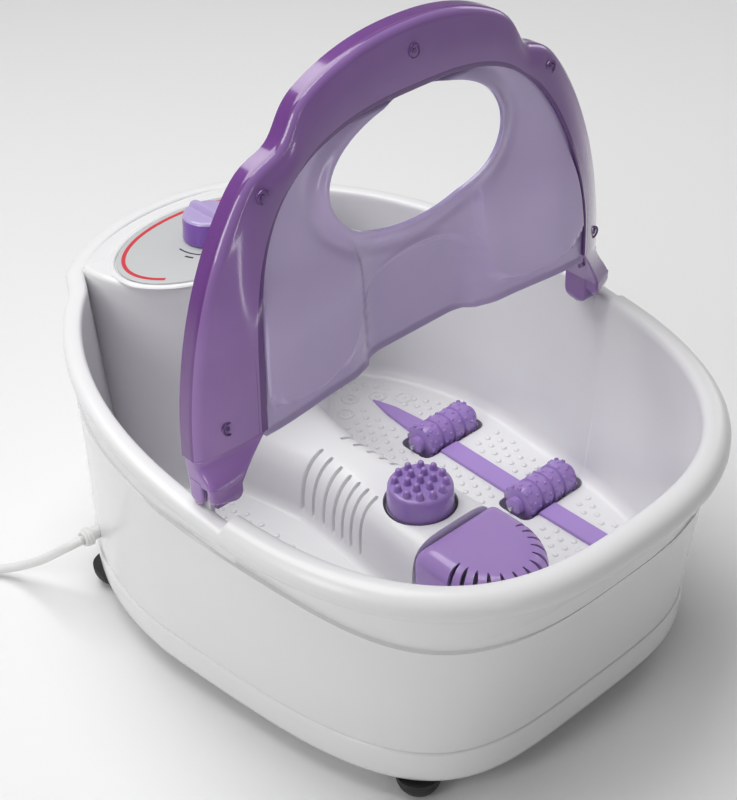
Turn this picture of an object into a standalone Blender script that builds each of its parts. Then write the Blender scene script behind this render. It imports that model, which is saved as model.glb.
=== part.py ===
"""Foot spa basin with a folding splash guard, massage rollers and a bubble cover.

Units are metres and +Z is up. The origin lies on the floor under the middle of the basin.
-Y is the heel end in front of the user, +Y is the toe end with the control knob, and +X is
the user's right.
"""
import math

import bpy
import bmesh
from mathutils import Matrix, Vector

# ------------------------------------------------------------------ driving dimensions
GAP = 0.0003                 # clearance between pieces that touch

RIM_HALF_WIDTH = 0.164
RIM_MIDDLE_Y = -0.010        # where the rim is widest
RIM_FRONT_REACH = 0.203
RIM_REAR_REACH = 0.213
RIM_FRONT_POWER = 2.65
RIM_REAR_POWER = 2.1
REAR_BUMP = 0.010            # the rim swells out round the control pod
REAR_BUMP_HALF_WIDTH = 0.096

STEP_Y = -0.060              # the raised roll starts here and runs round the front
LEDGE_HEIGHT = 0.1748        # ledge height at Y = 0, rising to the rear
LEDGE_RISE = 0.094
ROLL_HEIGHT = 0.1782         # roll height at Y = 0, falling to the front
ROLL_FALL = 0.058
HINGE_Y = -0.036
HINGE_Z = 0.178
EAR_X = (0.1503, 0.1530)     # inner and outer face of the hinge ear on the tub's wall
EAR_RADIUS = 0.0070
EAR_FOOT_Z = 0.160

FLOOR_Z = 0.045              # basin floor, top face
SHELL = 0.0025               # thickness of the white mouldings
CREASE_Z = 0.041             # parting line of the housing and the base pan
BASE_Z = 0.0145              # underside of the base pan
BASE_HALF_WIDTH = 0.151
BASE_MIDDLE_Y = 0.020
BASE_FRONT_REACH = 0.203
BASE_REAR_REACH = 0.168
BASE_FRONT_POWER = 4.1       # squareness of the front corners
BASE_REAR_POWER = 2.3
BASE_TAPER = 0.6             # how fast the base narrows to the front, per metre

ISLAND_TOP_Z = 0.089
# Y, half width and squareness of the island's sections, from the pod to the bubble cover
ISLAND_STATIONS = ((0.1200, 0.046, 2.6), (0.090, 0.038, 2.6), (0.060, 0.031, 2.6), (0.036, 0.0265, 2.6),
                   (0.006, 0.0285, 2.6), (-0.020, 0.0305, 3.4), (-0.043, 0.0330, 4.4), (-0.0695, 0.034, 4.4))
HEAD_Y = -0.043              # massage head
HEAD_RADIUS = 0.0208
SEAT_Z = 0.0862               # flat seat sunk into the island under the head
SEAT_RADIUS = 0.0228
COVER_BACK_Y = -0.071        # bubble cover
COVER_HALF_WIDTH = 0.034
COVER_LENGTH = 0.067
COVER_TOP_Z = 0.0895
COVER_FOOT_Z = 0.0605

ROLLER_X = 0.098
ROLLER_YS = {"rear": 0.037, "front": -0.053}
ROLLER_Z = 0.0485
ROLLER_RADIUS = 0.0127
ROLLER_LENGTH = 0.054
WELL_LENGTH = 0.0595         # along X
WELL_WIDTH = 0.0300          # along Y
WELL_FLOOR_Z = 0.0318
STRIP_HALF_WIDTH = 0.0075
STRIP_X = 0.089

POD_MIDDLE_Y = 0.148
POD_HALF_WIDTH = 0.080
POD_HALF_DEPTH = 0.051
POD_TOP_Z = 0.1935
KNOB_Y = 0.148
KNOB_RADIUS = 0.0175
KNOB_HEIGHT = 0.0165

GUARD_TOP_Z = 0.396
GUARD_HALF_WIDTH = 0.1565
GUARD_MIDDLE_Z = 0.190
GUARD_POWER = 2.2
GUARD_REAR_Y = -0.0265
GUARD_FRONT_Y = -0.0390       # front edge of the arch's outer wall
LEG_X = (0.1390, 0.1500, 0.1533, 0.1563)   # faces of the leg's inner tab and outer lip
LEG_Z = HINGE_Z + 0.0083     # underside of the leg above the ear
GUARD_INNER_HALF_WIDTH = 0.122
GUARD_INNER_TOP_Z = 0.360
GUARD_INNER_MIDDLE_Z = 0.200
GUARD_INNER_POWER = 2.9
GRIP_HALF_WIDTH = 0.063
GRIP_HALF_HEIGHT = 0.0375
GRIP_Z = 0.3225
GUARD_FACE_Y = -0.0400       # front face of the panel between the toe domes
PANEL_BOTTOM_Z = 0.211
PANEL_THICKNESS = 0.0022
CLAMP_PLAY = 0.0009          # play on each face of the panel between the two shells
PANEL_TUCK = 0.0035           # how far the panel reaches between the two shells
WALL = 0.0020                # thickness of the purple mouldings

CABLE_EXIT = (-0.1375, 0.106, 0.0560)

FOOT_RADIUS = 0.0133
FOOT_SPOTS = {"front_left": (-0.103, -0.147), "front_right": (0.103, -0.147),
              "rear_left": (-0.122, 0.118), "rear_right": (0.122, 0.118)}
BOSS_SPOTS = {"front_left": (-0.072, -0.135), "front_right": (0.072, -0.135),
              "rear_left": (-0.100, 0.098), "rear_right": (0.100, 0.098)}
GUARD_SCREW_SPOTS = {"top": 0.0, "upper_left": -43.0, "upper_right": 43.0,
                     "lower_left": -89.0, "lower_right": 89.0}

STATIONS = 56                # points round the rim, housing and base
SEGMENTS = 24                # points round a turned piece


# ------------------------------------------------------------------ small helpers
def material(name, colour, roughness, metallic=0.0, transmission=0.0):
    """One Principled material for one sub-part."""
    mat = bpy.data.materials.new(name)
    mat.use_nodes = True
    shader = mat.node_tree.nodes["Principled BSDF"]
    shader.inputs["Base Color"].default_value = (*colour, 1.0)
    shader.inputs["Roughness"].default_value = roughness
    shader.inputs["Metallic"].default_value = metallic
    shader.inputs["Transmission Weight"].default_value = transmission
    mat.diffuse_color = (*colour, 1.0)
    return mat


def finish_object(name, mesh_builder, mat, parent=None, at=(0.0, 0.0, 0.0), hidden=False):
    """Make an object from a bmesh whose points are in world space, with its origin at `at`."""
    bmesh.ops.remove_doubles(mesh_builder, verts=mesh_builder.verts, dist=1e-6)
    bmesh.ops.recalc_face_normals(mesh_builder, faces=mesh_builder.faces)
    if hidden:
        bmesh.ops.triangulate(mesh_builder, faces=mesh_builder.faces)
    bmesh.ops.translate(mesh_builder, verts=mesh_builder.verts, vec=-Vector(at))
    mesh = bpy.data.meshes.new(name)
    mesh_builder.to_mesh(mesh)
    mesh_builder.free()
    if mat is not None:
        mesh.materials.append(mat)
    mesh.shade_smooth()
    mesh.set_sharp_from_angle(angle=math.radians(35))
    obj = bpy.data.objects.new(name, mesh)
    bpy.context.scene.collection.objects.link(obj)
    if parent is None:
        obj.location = at
    else:
        obj.parent = parent
        obj.location = Vector(at) - parent.location
    if hidden:
        obj.hide_render = True
        obj.display_type = "WIRE"
    return obj


def pivot(name, at):
    """An empty on a joint's axis, for the pieces that move with it."""
    empty = bpy.data.objects.new(name, None)
    empty.location = at
    bpy.context.scene.collection.objects.link(empty)
    return empty


def boolean(obj, other, operation):
    """Add an exact Boolean of the given kind between an object and a guide object."""
    modifier = obj.modifiers.new(operation.lower() + "_" + other.name, "BOOLEAN")
    modifier.operation = operation
    modifier.solver = "EXACT"
    modifier.object = other


def add_loft(builder, rings, capped=True):
    """Skin a row of equal rings. Without caps the last ring joins the first one."""
    rows = [[builder.verts.new(point) for point in ring] for ring in rings]
    count = len(rows[0])
    last = len(rows) - 1 if capped else len(rows)
    for j in range(last):
        row = rows[j]
        after = rows[(j + 1) % len(rows)]
        for i in range(count):
            k = (i + 1) % count
            builder.faces.new((row[i], row[k], after[k], after[i]))
    if capped:
        builder.faces.new(rows[0])
        builder.faces.new(rows[-1])


def loft(name, rings, mat, capped=True, **placing):
    """One closed body skinned over rings."""
    builder = bmesh.new()
    add_loft(builder, rings, capped)
    return finish_object(name, builder, mat, **placing)


def circle_point(centre, axis, radius, along, angle):
    """A point on a circle round an axis that is X, Y or Z."""
    side = radius * math.cos(angle)
    up = radius * math.sin(angle)
    offsets = {"X": (along, side, up), "Y": (up, along, side), "Z": (side, up, along)}
    return tuple(c + o for c, o in zip(centre, offsets[axis]))


def add_turned(builder, profile, centre, axis="Z", segments=SEGMENTS):
    """Turn a profile of (radius, along) round an axis. A radius of 0 closes to a point."""
    rows = []
    for radius, along in profile:
        if radius < 1e-7:
            rows.append([builder.verts.new(circle_point(centre, axis, 0.0, along, 0.0))])
            continue
        angles = [2 * math.pi * k / segments for k in range(segments)]
        rows.append([builder.verts.new(circle_point(centre, axis, radius, along, a)) for a in angles])
    closed = len(rows[0]) > 1
    pairs = list(zip(rows, rows[1:] + rows[:1])) if closed else list(zip(rows, rows[1:]))
    for row, after in pairs:
        for i in range(segments):
            k = (i + 1) % segments
            if len(row) == 1 and len(after) == 1:
                continue
            if len(row) == 1:
                builder.faces.new((row[0], after[k], after[i]))
            elif len(after) == 1:
                builder.faces.new((row[i], row[k], after[0]))
            else:
                builder.faces.new((row[i], row[k], after[k], after[i]))


def turned(name, profile, centre, mat, axis="Z", segments=SEGMENTS, **placing):
    """A turned body; a profile that starts off the axis closes on itself and has a bore."""
    builder = bmesh.new()
    add_turned(builder, profile, centre, axis, segments)
    return finish_object(name, builder, mat, **placing)


def add_box(builder, low, high):
    """A plain box between two corners."""
    size = [b - a for a, b in zip(low, high)]
    middle = [(a + b) / 2 for a, b in zip(low, high)]
    matrix = Matrix.Translation(middle) @ Matrix.Diagonal((*size, 1.0))
    bmesh.ops.create_cube(builder, size=1.0, matrix=matrix)


def boxes(name, corners, mat, bevel=0.0, **placing):
    """An object of one or more boxes, with its edges bevelled."""
    builder = bmesh.new()
    for low, high in corners:
        add_box(builder, low, high)
    if bevel:
        bmesh.ops.bevel(builder, geom=builder.edges[:], offset=bevel, segments=2, affect="EDGES")
    return finish_object(name, builder, mat, **placing)


def tube_rings(path, radius, segments=10):
    """Rings round a path of points, kept from twisting."""
    points = [Vector(p) for p in path]
    side = None
    rings = []
    for i, point in enumerate(points):
        ahead = points[min(i + 1, len(points) - 1)]
        behind = points[max(i - 1, 0)]
        along = (ahead - behind).normalized()
        if side is None:
            side = along.orthogonal().normalized()
        side = (side - along * side.dot(along)).normalized()
        up = along.cross(side)
        angles = [2 * math.pi * k / segments for k in range(segments)]
        rings.append([point + radius * (math.cos(a) * side + math.sin(a) * up) for a in angles])
    return rings


def smooth_path(points, steps=4):
    """A Catmull-Rom curve through a few points."""
    knots = [Vector(p) for p in points]
    knots = [2 * knots[0] - knots[1]] + knots + [2 * knots[-1] - knots[-2]]
    path = []
    for a, b, c, d in zip(knots, knots[1:], knots[2:], knots[3:]):
        for k in range(steps):
            t = k / steps
            path.append(0.5 * (2 * b + (c - a) * t + (2 * a - 5 * b + 4 * c - d) * t * t
                               + (3 * b - a - 3 * c + d) * t ** 3))
    path.append(knots[-2])
    return path


def signed_power(value, power):
    return math.copysign(abs(value) ** power, value)


def smooth_step(value, low, high):
    t = min(max((value - low) / (high - low), 0.0), 1.0)
    return t * t * (3 - 2 * t)


# ------------------------------------------------------------------ outlines seen from above
def rim_point(angle):
    """The rim's outer edge. The angle runs from +Y towards +X."""
    s = math.sin(angle)
    c = math.cos(angle)
    power = RIM_REAR_POWER if c > 0 else RIM_FRONT_POWER
    reach = RIM_REAR_REACH if c > 0 else RIM_FRONT_REACH
    x = RIM_HALF_WIDTH * signed_power(s, 2 / power)
    y = RIM_MIDDLE_Y + reach * signed_power(c, 2 / power)
    if c > 0:
        y += REAR_BUMP * (1 - smooth_step(abs(x), REAR_BUMP_HALF_WIDTH - 0.010, REAR_BUMP_HALF_WIDTH + 0.004))
    return Vector((x, y))


def base_point(angle):
    """The outline of the base pan, squarer than the rim and narrower at the front."""
    s = math.sin(angle)
    c = math.cos(angle)
    power = BASE_REAR_POWER if c > 0 else BASE_FRONT_POWER
    reach = BASE_REAR_REACH if c > 0 else BASE_FRONT_REACH
    y = reach * signed_power(c, 2 / power)
    x = BASE_HALF_WIDTH * signed_power(s, 2 / power)
    x *= 1 + BASE_TAPER * min(y, 0.0)
    return Vector((x, y + BASE_MIDDLE_Y))


def station_angles(count=STATIONS):
    """Angles round the rim, with a close pair on each side where the raised roll starts."""
    power = RIM_FRONT_POWER
    step = math.acos(-((RIM_MIDDLE_Y - STEP_Y) / RIM_FRONT_REACH) ** (power / 2))
    half = 0.0015
    right_rear = [step * (k + 0.5) / (count // 4) for k in range(count // 4)]
    right_rear[-1] = step - half
    right_front = [step + half]
    right_front += [step + (math.pi - step) * (k + 0.5) / (count // 4) for k in range(count // 4)]
    right = right_rear + right_front
    return right + [2 * math.pi - a for a in reversed(right)]


def outward_normals(ring):
    """Unit normals of a closed outline that runs clockwise seen from above."""
    normals = []
    for i in range(len(ring)):
        along = ring[(i + 1) % len(ring)] - ring[i - 1]
        normals.append(Vector((-along.y, along.x)).normalized())
    return normals


ANGLES = station_angles()
RIM = [rim_point(a) for a in ANGLES]
RIM_NORMALS = outward_normals(RIM)
BASE = [base_point(a) for a in ANGLES]
BASE_NORMALS = outward_normals(BASE)
ON_ROLL = [p.y < STEP_Y for p in RIM]


def rim_top(y, on_roll):
    """Height of the ledge or the roll."""
    if on_roll:
        return ROLL_HEIGHT + ROLL_FALL * y
    return LEDGE_HEIGHT + LEDGE_RISE * y


def rim_ring(ledge, roll):
    """A ring round the tub from (inset, drop below the top) pairs of the ledge and the roll."""
    ring = []
    for point, normal, on_roll in zip(RIM, RIM_NORMALS, ON_ROLL):
        inset, drop = roll if on_roll else ledge
        flat = point - normal * inset
        ring.append((flat.x, flat.y, rim_top(point.y, on_roll) - drop))
    return ring


def wall_ring(z, extra=0.0):
    """A level ring on the basin's inner wall face, moved in by `extra`."""
    ring = []
    for low, high, n_low, n_high, on_roll in zip(BASE, RIM, BASE_NORMALS, RIM_NORMALS, ON_ROLL):
        rise = min((z - CREASE_Z) / (rim_top(high.y, on_roll) - 0.008 - CREASE_Z), 1.0)
        foot = low - n_low * 0.0125
        head = high - n_high * (0.0168 if on_roll else 0.0120)
        flat = foot.lerp(head, rise) - n_low.lerp(n_high, rise) * extra
        ring.append((flat.x, flat.y, z))
    return ring


def blended_ring(amount, extra, z):
    """A level ring between the base's outline (0) and the rim's outline (1), moved in by `extra`."""
    ring = []
    for low, high, n_low, n_high in zip(BASE, RIM, BASE_NORMALS, RIM_NORMALS):
        flat = low.lerp(high, amount) - n_low.lerp(n_high, amount) * extra
        ring.append((flat.x, flat.y, z))
    return ring


# ------------------------------------------------------------------ tub
def pod_ring(z, shrink, wall_extra):
    """The control pod's outline at a height: an oval front, and a back that follows the wall."""
    wall = wall_ring(z, wall_extra)
    back = [p for p, edge in zip(wall, RIM) if abs(edge.x) < POD_HALF_WIDTH + 0.012 and edge.y > 0]
    back.sort(key=lambda p: -p[0])
    half_width = back[0][0] - shrink
    side_y = back[0][1]
    reach = side_y - (POD_MIDDLE_Y - POD_HALF_DEPTH) - shrink + (POD_TOP_Z - z) * 0.06
    back = [(half_width, side_y, z)] + back[1:-1] + [(-half_width, side_y, z)]
    front = []
    for k in range(1, 20):
        angle = math.pi * k / 20
        front.append((-half_width * math.cos(angle), side_y - reach * math.sin(angle), z))
    return back + front


def island_section(y, half_width, top, foot, flat_power):
    """The island's cross-section: a broad rounded hump with upright flanks."""
    section = []
    steps = 14
    for k in range(steps + 1):
        angle = math.pi * k / steps
        x = -half_width * signed_power(math.cos(angle), 2 / flat_power)
        z = foot + (top - foot) * math.sin(angle) ** (2 / flat_power)
        section.append((x, y, z))
    return section


def island_rings(inset, top_drop=0.0):
    """Sections of the island from the pod to the bubble cover, moved in by `inset`."""
    rings = []
    for y, half_width, power in ISLAND_STATIONS:
        if y < -0.069:
            y += inset
        foot = FLOOR_Z - 0.0012 - 6 * inset
        rings.append(island_section(y, half_width - inset, ISLAND_TOP_Z - top_drop, foot, power))
    return rings


def cover_outline(grow, z, steps=20):
    """The bubble cover's D outline, square at the back and round at the front."""
    half_width = COVER_HALF_WIDTH + grow
    back = COVER_BACK_Y + grow
    straight = 0.026
    middle = COVER_BACK_Y - straight
    front_reach = COVER_LENGTH - straight + grow
    outline = [(half_width, back, z)]
    for k in range(steps + 1):
        angle = math.pi * k / steps
        outline.append((half_width * math.cos(angle), middle - front_reach * math.sin(angle), z))
    outline.append((-half_width, back, z))
    return outline


def build_tub(white):
    """The white basin moulding with its rim, island, control pod and roller wells."""
    rings = [
        wall_ring(FLOOR_Z, 0.009),
        wall_ring(FLOOR_Z + 0.0016, 0.0042),
        wall_ring(FLOOR_Z + 0.0060, 0.0008),
        rim_ring((0.0120, 0.0080), (0.0168, 0.0080)),
        rim_ring((0.0112, 0.0010), (0.0162, 0.0022)),
        rim_ring((0.0098, 0.0), (0.0130, 0.0)),
        rim_ring((0.0030, 0.0004), (0.0065, 0.0004)),
        rim_ring((0.0010, 0.0012), (0.0028, 0.0026)),
        rim_ring((0.0, 0.0030), (0.0004, 0.0062)),
        rim_ring((0.0002, 0.0086), (0.0, 0.0110)),
        rim_ring((0.0020, 0.0088), (0.0016, 0.0142)),
        rim_ring((0.0024, 0.0034), (0.0036, 0.0140)),
        rim_ring((0.0092, 0.0034), (0.0138, 0.0036)),
        rim_ring((0.0094, 0.0150), (0.0142, 0.0150)),
        wall_ring(FLOOR_Z + 0.0050, 0.0008 - SHELL),
        wall_ring(FLOOR_Z - 0.0006, 0.0030 - SHELL),
        wall_ring(FLOOR_Z - SHELL, 0.0080),
    ]
    tub = loft("tub", rings, white)

    island = loft("guide_island", island_rings(0.0), None, hidden=True)
    front_island = loft("guide_front_island",
                        [cover_outline(-0.0034, FLOOR_Z - 0.0012),
                         cover_outline(-0.0034, COVER_FOOT_Z - GAP)],
                        None, hidden=True)
    pod = loft("guide_pod", [pod_ring(z, 0.0, -0.0012) for z in (FLOOR_Z - 0.0012, 0.110, 0.160, 0.186)]
               + [pod_ring(POD_TOP_Z, 0.0022, 0.0)], None, hidden=True)

    wells = []
    hollows = []
    for side in (-1, 1):
        for y in ROLLER_YS.values():
            x = side * ROLLER_X
            half = (WELL_LENGTH / 2, WELL_WIDTH / 2)
            outer = (half[0] + SHELL, half[1] + SHELL)
            wells.append(((x - outer[0], y - outer[1], WELL_FLOOR_Z - SHELL),
                          (x + outer[0], y + outer[1], FLOOR_Z - 0.001)))
            hollows.append(((x - half[0], y - half[1], WELL_FLOOR_Z),
                            (x + half[0], y + half[1], FLOOR_Z + 0.010)))
    wells = boxes("guide_wells", wells, None, hidden=True)
    hollows = boxes("guide_well_hollows", hollows, None, hidden=True)

    bosses = bmesh.new()
    bores = bmesh.new()
    for x, y in BOSS_SPOTS.values():
        low = BASE_Z + SHELL + GAP
        boss = [(0.0, low), (0.0048, low), (0.0048, FLOOR_Z - 0.001), (0.0, FLOOR_Z - 0.001)]
        add_turned(bosses, boss, (x, y, 0.0), segments=20)
        bore = [(0.0, low - 0.002), (0.0019, low - 0.002), (0.0019, 0.040), (0.0, 0.040)]
        add_turned(bores, bore, (x, y, 0.0), segments=16)
    bosses = finish_object("guide_bosses", bosses, None, hidden=True)
    bores = finish_object("guide_bores", bores, None, hidden=True)

    ears = bmesh.new()
    ear_bores = bmesh.new()
    for side in (-1, 1):
        outline = [(HINGE_Y - EAR_RADIUS, EAR_FOOT_Z)]
        for k in range(11):
            angle = math.pi * k / 10
            outline.append((HINGE_Y - EAR_RADIUS * math.cos(angle), HINGE_Z + EAR_RADIUS * math.sin(angle)))
        outline.append((HINGE_Y + EAR_RADIUS, EAR_FOOT_Z))
        add_loft(ears, [[(side * x, y, z) for y, z in outline] for x in EAR_X])
        reach = (side * (EAR_X[0] - 0.004), side * (EAR_X[1] + 0.010))
        bore = [(0.0, min(reach)), (0.0023, min(reach)), (0.0023, max(reach)), (0.0, max(reach))]
        add_turned(ear_bores, bore, (0.0, HINGE_Y, HINGE_Z), axis="X", segments=16)
    ears = finish_object("guide_ears", ears, None, hidden=True)
    ear_bores = finish_object("guide_ear_bores", ear_bores, None, hidden=True)

    for guide in (island, front_island, pod, wells, bosses, ears):
        boolean(tub, guide, "UNION")

    island_hollow = loft("guide_island_hollow", island_rings(SHELL, 0.0065), None, hidden=True)
    front_hollow = loft("guide_front_hollow",
                        [cover_outline(-0.0034 - SHELL, FLOOR_Z - 0.010),
                         cover_outline(-0.0034 - SHELL, COVER_FOOT_Z - GAP - SHELL)],
                        None, hidden=True)
    pod_hollow = loft("guide_pod_hollow", [pod_ring(z, SHELL, 0.0) for z in (FLOOR_Z - 0.010, 0.110, 0.160)]
                      + [pod_ring(POD_TOP_Z - SHELL, 0.0022 + SHELL, 0.0)], None, hidden=True)
    seat = [(0.0, 0.075), (0.0045, 0.075), (0.0045, SEAT_Z), (SEAT_RADIUS, SEAT_Z),
            (SEAT_RADIUS, 0.12), (0.0, 0.12)]
    head_seat = turned("guide_head_seat", seat, (0.0, HEAD_Y, 0.0), None, hidden=True)
    shaft_hole = turned("guide_shaft_hole", [(0.0, 0.180), (0.0040, 0.180), (0.0040, 0.200), (0.0, 0.200)],
                        (0.0, KNOB_Y, 0.0), None, segments=20, hidden=True)
    air_hole = turned("guide_air_hole", [(0.0, 0.050), (0.0034, 0.050), (0.0034, 0.070), (0.0, 0.070)],
                      (0.0, COVER_BACK_Y - 0.026, 0.0), None, segments=20, hidden=True)
    for guide in (island_hollow, front_hollow, pod_hollow, hollows, bores, ear_bores,
                  head_seat, shaft_hole, air_hole):
        boolean(tub, guide, "DIFFERENCE")
    return tub


# ------------------------------------------------------------------ housing, base and feet
def build_housing(white):
    """The white outer skirt, open at the top and bottom, with a flared upper part."""
    outer = []
    inner = []
    for z, amount in ((CREASE_Z + GAP, 0.02), (0.060, 0.16), (0.095, 0.40), (0.118, 0.60)):
        outer.append(blended_ring(amount, 0.0042 * amount, z))
        inner.append(blended_ring(amount, 0.0042 * amount + SHELL, z))
    top = []
    for point, normal, on_roll in zip(RIM, RIM_NORMALS, ON_ROLL):
        drop = 0.0120 if on_roll else 0.0040
        depth = 0.0060 if on_roll else 0.0040
        top.append((point, normal, rim_top(point.y, on_roll) - drop, depth))
    outer.append([((p - n * d).x, (p - n * d).y, z) for p, n, z, d in top])
    inner.append([((p - n * (d + SHELL)).x, (p - n * (d + SHELL)).y, z) for p, n, z, d in top])
    housing = loft("outer_housing", outer + inner[::-1], white, capped=False)
    hole = turned("guide_cable_hole", [(0.0, -0.02), (0.0046, -0.02), (0.0046, 0.02), (0.0, 0.02)],
                  CABLE_EXIT, None, axis="X", segments=16, hidden=True)
    boolean(housing, hole, "DIFFERENCE")
    return housing


def build_base(white):
    """The base pan: an upright wall under the housing and a flat bottom with screw holes."""
    rings = [
        blended_ring(0.0, 0.010, BASE_Z),
        blended_ring(0.0, 0.0045, BASE_Z + 0.0004),
        blended_ring(0.0, 0.0010, BASE_Z + 0.0030),
        blended_ring(0.0, -0.0008, BASE_Z + 0.0080),
        blended_ring(0.0, -0.0014, CREASE_Z - 0.0016),
        blended_ring(0.0, -0.0006, CREASE_Z),
        blended_ring(0.0, 0.0018, CREASE_Z),
        blended_ring(0.0, 0.0018, BASE_Z + 0.0080),
        blended_ring(0.0, 0.0050, BASE_Z + SHELL),
    ]
    pan = loft("base_pan", rings, white)
    holes = bmesh.new()
    for x, y in BOSS_SPOTS.values():
        narrow = [(0.0, 0.0), (0.0022, 0.0), (0.0022, 0.030), (0.0, 0.030)]
        add_turned(holes, narrow, (x, y, 0.0), segments=16)
    for x, y in FOOT_SPOTS.values():
        wide = [(0.0, 0.0), (0.0032, 0.0), (0.0032, 0.030), (0.0, 0.030)]
        add_turned(holes, wide, (x, y, 0.0), segments=16)
    holes = finish_object("guide_pan_holes", holes, None, hidden=True)
    boolean(pan, holes, "DIFFERENCE")
    return pan


def build_feet(rubber):
    """Four domed rubber feet, each with a plug that pushes through the pan."""
    top = BASE_Z - GAP
    for name, (x, y) in FOOT_SPOTS.items():
        profile = [(0.0, 0.0), (0.0045, 0.0), (0.0078, 0.0012), (0.0108, 0.0040), (0.0127, 0.0080),
                   (FOOT_RADIUS, 0.0120), (FOOT_RADIUS, top), (0.0029, top), (0.0029, BASE_Z + 0.0028),
                   (0.0, BASE_Z + 0.0034)]
        turned("rubber_foot_" + name, profile, (x, y, 0.0), rubber, segments=16)


def build_base_screws(steel):
    """Four pan-head screws that hold the pan to the tub's bosses."""
    under = BASE_Z - GAP
    for name, (x, y) in BOSS_SPOTS.items():
        profile = [(0.0, under - 0.0024), (0.0028, under - 0.0022), (0.0038, under - 0.0010), (0.0040, under),
                   (0.0016, under), (0.0016, 0.0300), (0.0, 0.0315)]
        turned("base_screw_" + name, profile, (x, y, 0.0), steel, segments=12)


# ------------------------------------------------------------------ controls and cable
def build_controls(grey, purple, plastic, green, brass):
    """The label plate, the knob on its switch, and the control board under the pod."""
    bottom = POD_TOP_Z + GAP
    plate = []
    for grow, z in ((0.0, bottom), (0.0, bottom + 0.0008), (-0.0008, bottom + 0.0013)):
        ring = []
        for k in range(56):
            angle = 2 * math.pi * k / 56
            x = (POD_HALF_WIDTH - 0.012 + grow) * math.cos(angle)
            y = (POD_HALF_DEPTH - 0.009 + grow) * math.sin(angle)
            ring.append((x, POD_MIDDLE_Y - 0.001 + y, z))
        plate.append(ring)
    plate = loft("control_label_plate", plate, grey)
    hole = turned("guide_plate_hole", [(0.0, 0.18), (0.0040, 0.18), (0.0040, 0.21), (0.0, 0.21)],
                  (0.0, KNOB_Y, 0.0), None, segments=20, hidden=True)
    boolean(plate, hole, "DIFFERENCE")

    turn = pivot("knob_axis", (0.0, KNOB_Y, POD_TOP_Z))
    low = POD_TOP_Z + 0.0025
    high = low + KNOB_HEIGHT
    knob = [(0.0, high), (0.010, high), (0.0150, high - 0.0006), (0.0163, high - 0.0022),
            (KNOB_RADIUS, low + 0.001), (KNOB_RADIUS, low), (0.0155, low),
            (0.0150, low + 0.002), (0.0060, low + 0.002),
            (0.0060, low), (0.0031, low), (0.0031, low + 0.006), (0.0, low + 0.006)]
    on_axis = (0.0, KNOB_Y, POD_TOP_Z)
    knob = turned("control_knob", knob, (0.0, KNOB_Y, 0.0), purple, parent=turn, at=on_axis)
    ridge = ((-0.0032, KNOB_Y - 0.0172, high - 0.004), (0.0032, KNOB_Y + 0.0172, high + 0.0035))
    grip = boxes("guide_knob_grip", [ridge], None, bevel=0.0009, hidden=True)
    boolean(knob, grip, "UNION")

    under = POD_TOP_Z - SHELL - GAP
    body = ((-0.013, KNOB_Y - 0.013, under - 0.016), (0.013, KNOB_Y + 0.013, under))
    switch = boxes("rotary_switch", [body], plastic, bevel=0.0008)
    bore = [(0.0, under - 0.010), (0.0034, under - 0.010), (0.0034, under + 0.01), (0.0, under + 0.01)]
    socket = turned("guide_switch_bore", bore, (0.0, KNOB_Y, 0.0), None, segments=20, hidden=True)
    boolean(switch, socket, "DIFFERENCE")
    shaft = [(0.0, under - 0.009), (0.0028, under - 0.009), (0.0028, low + 0.0056), (0.0, low + 0.0056)]
    turned("switch_shaft", shaft, (0.0, KNOB_Y, 0.0), brass, segments=20, parent=turn, at=on_axis)
    boxes("control_board", [((-0.042, KNOB_Y - 0.028, 0.1625), (0.042, KNOB_Y + 0.028, 0.1641))], green)


def build_cable(white):
    """The mains cable's visible length and the strain relief that grips it."""
    exit_at = Vector(CABLE_EXIT)
    path = smooth_path([exit_at + Vector((0.0098, 0.0, 0.0)), exit_at + Vector((0.001, 0.0, 0.0)),
                        exit_at + Vector((-0.0115, 0.0, 0.0)), exit_at + Vector((-0.0138, 0.0, 0.0)),
                        exit_at + Vector((-0.021, 0.006, -0.005)),
                        (-0.163, 0.140, 0.026), (-0.172, 0.168, 0.0075), (-0.190, 0.188, 0.0037)])
    loft("power_cable", tube_rings(path, 0.0030), white)
    sleeve = [(0.0034, 0.0095), (0.0043, 0.0095), (0.0043, -0.0050), (0.0060, -0.0052), (0.0058, -0.0085),
              (0.0046, -0.0110), (0.0034, -0.0110)]
    turned("cable_strain_relief", sleeve, tuple(exit_at), white, axis="X", segments=16)


# ------------------------------------------------------------------ massage parts
def build_rollers(purple, steel):
    """Two strips, and four ribbed rollers that turn on steel axles in their wells."""
    for side, side_name in ((-1, "left"), (1, "right")):
        build_strip("roller_strip_" + side_name, side * STRIP_X, purple)
        for place, y in ROLLER_YS.items():
            centre = (side * ROLLER_X, y, ROLLER_Z)
            half = ROLLER_LENGTH / 2
            profile = [(0.0018, -half), (0.0058, -half), (0.0062, -half + 0.0050), (0.0098, -half + 0.0056)]
            ribs = 4
            pitch = (ROLLER_LENGTH - 0.0112) / ribs
            for k in range(ribs):
                start = -half + 0.0056 + k * pitch
                profile += [(ROLLER_RADIUS, start + 0.0012), (ROLLER_RADIUS, start + pitch - 0.0012)]
                if k < ribs - 1:
                    profile.append((0.0106, start + pitch))
            profile += [(0.0098, half - 0.0056), (0.0062, half - 0.0050), (0.0058, half), (0.0018, half)]
            name = "roller_" + place + "_" + side_name
            turned(name, profile, centre, purple, axis="X", segments=14, at=centre)
            reach = WELL_LENGTH / 2 - GAP
            axle = [(0.0, -reach), (0.0014, -reach), (0.0014, reach), (0.0, reach)]
            turned("roller_axle_" + place + "_" + side_name, axle, centre, steel, axis="X", segments=12)


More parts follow.
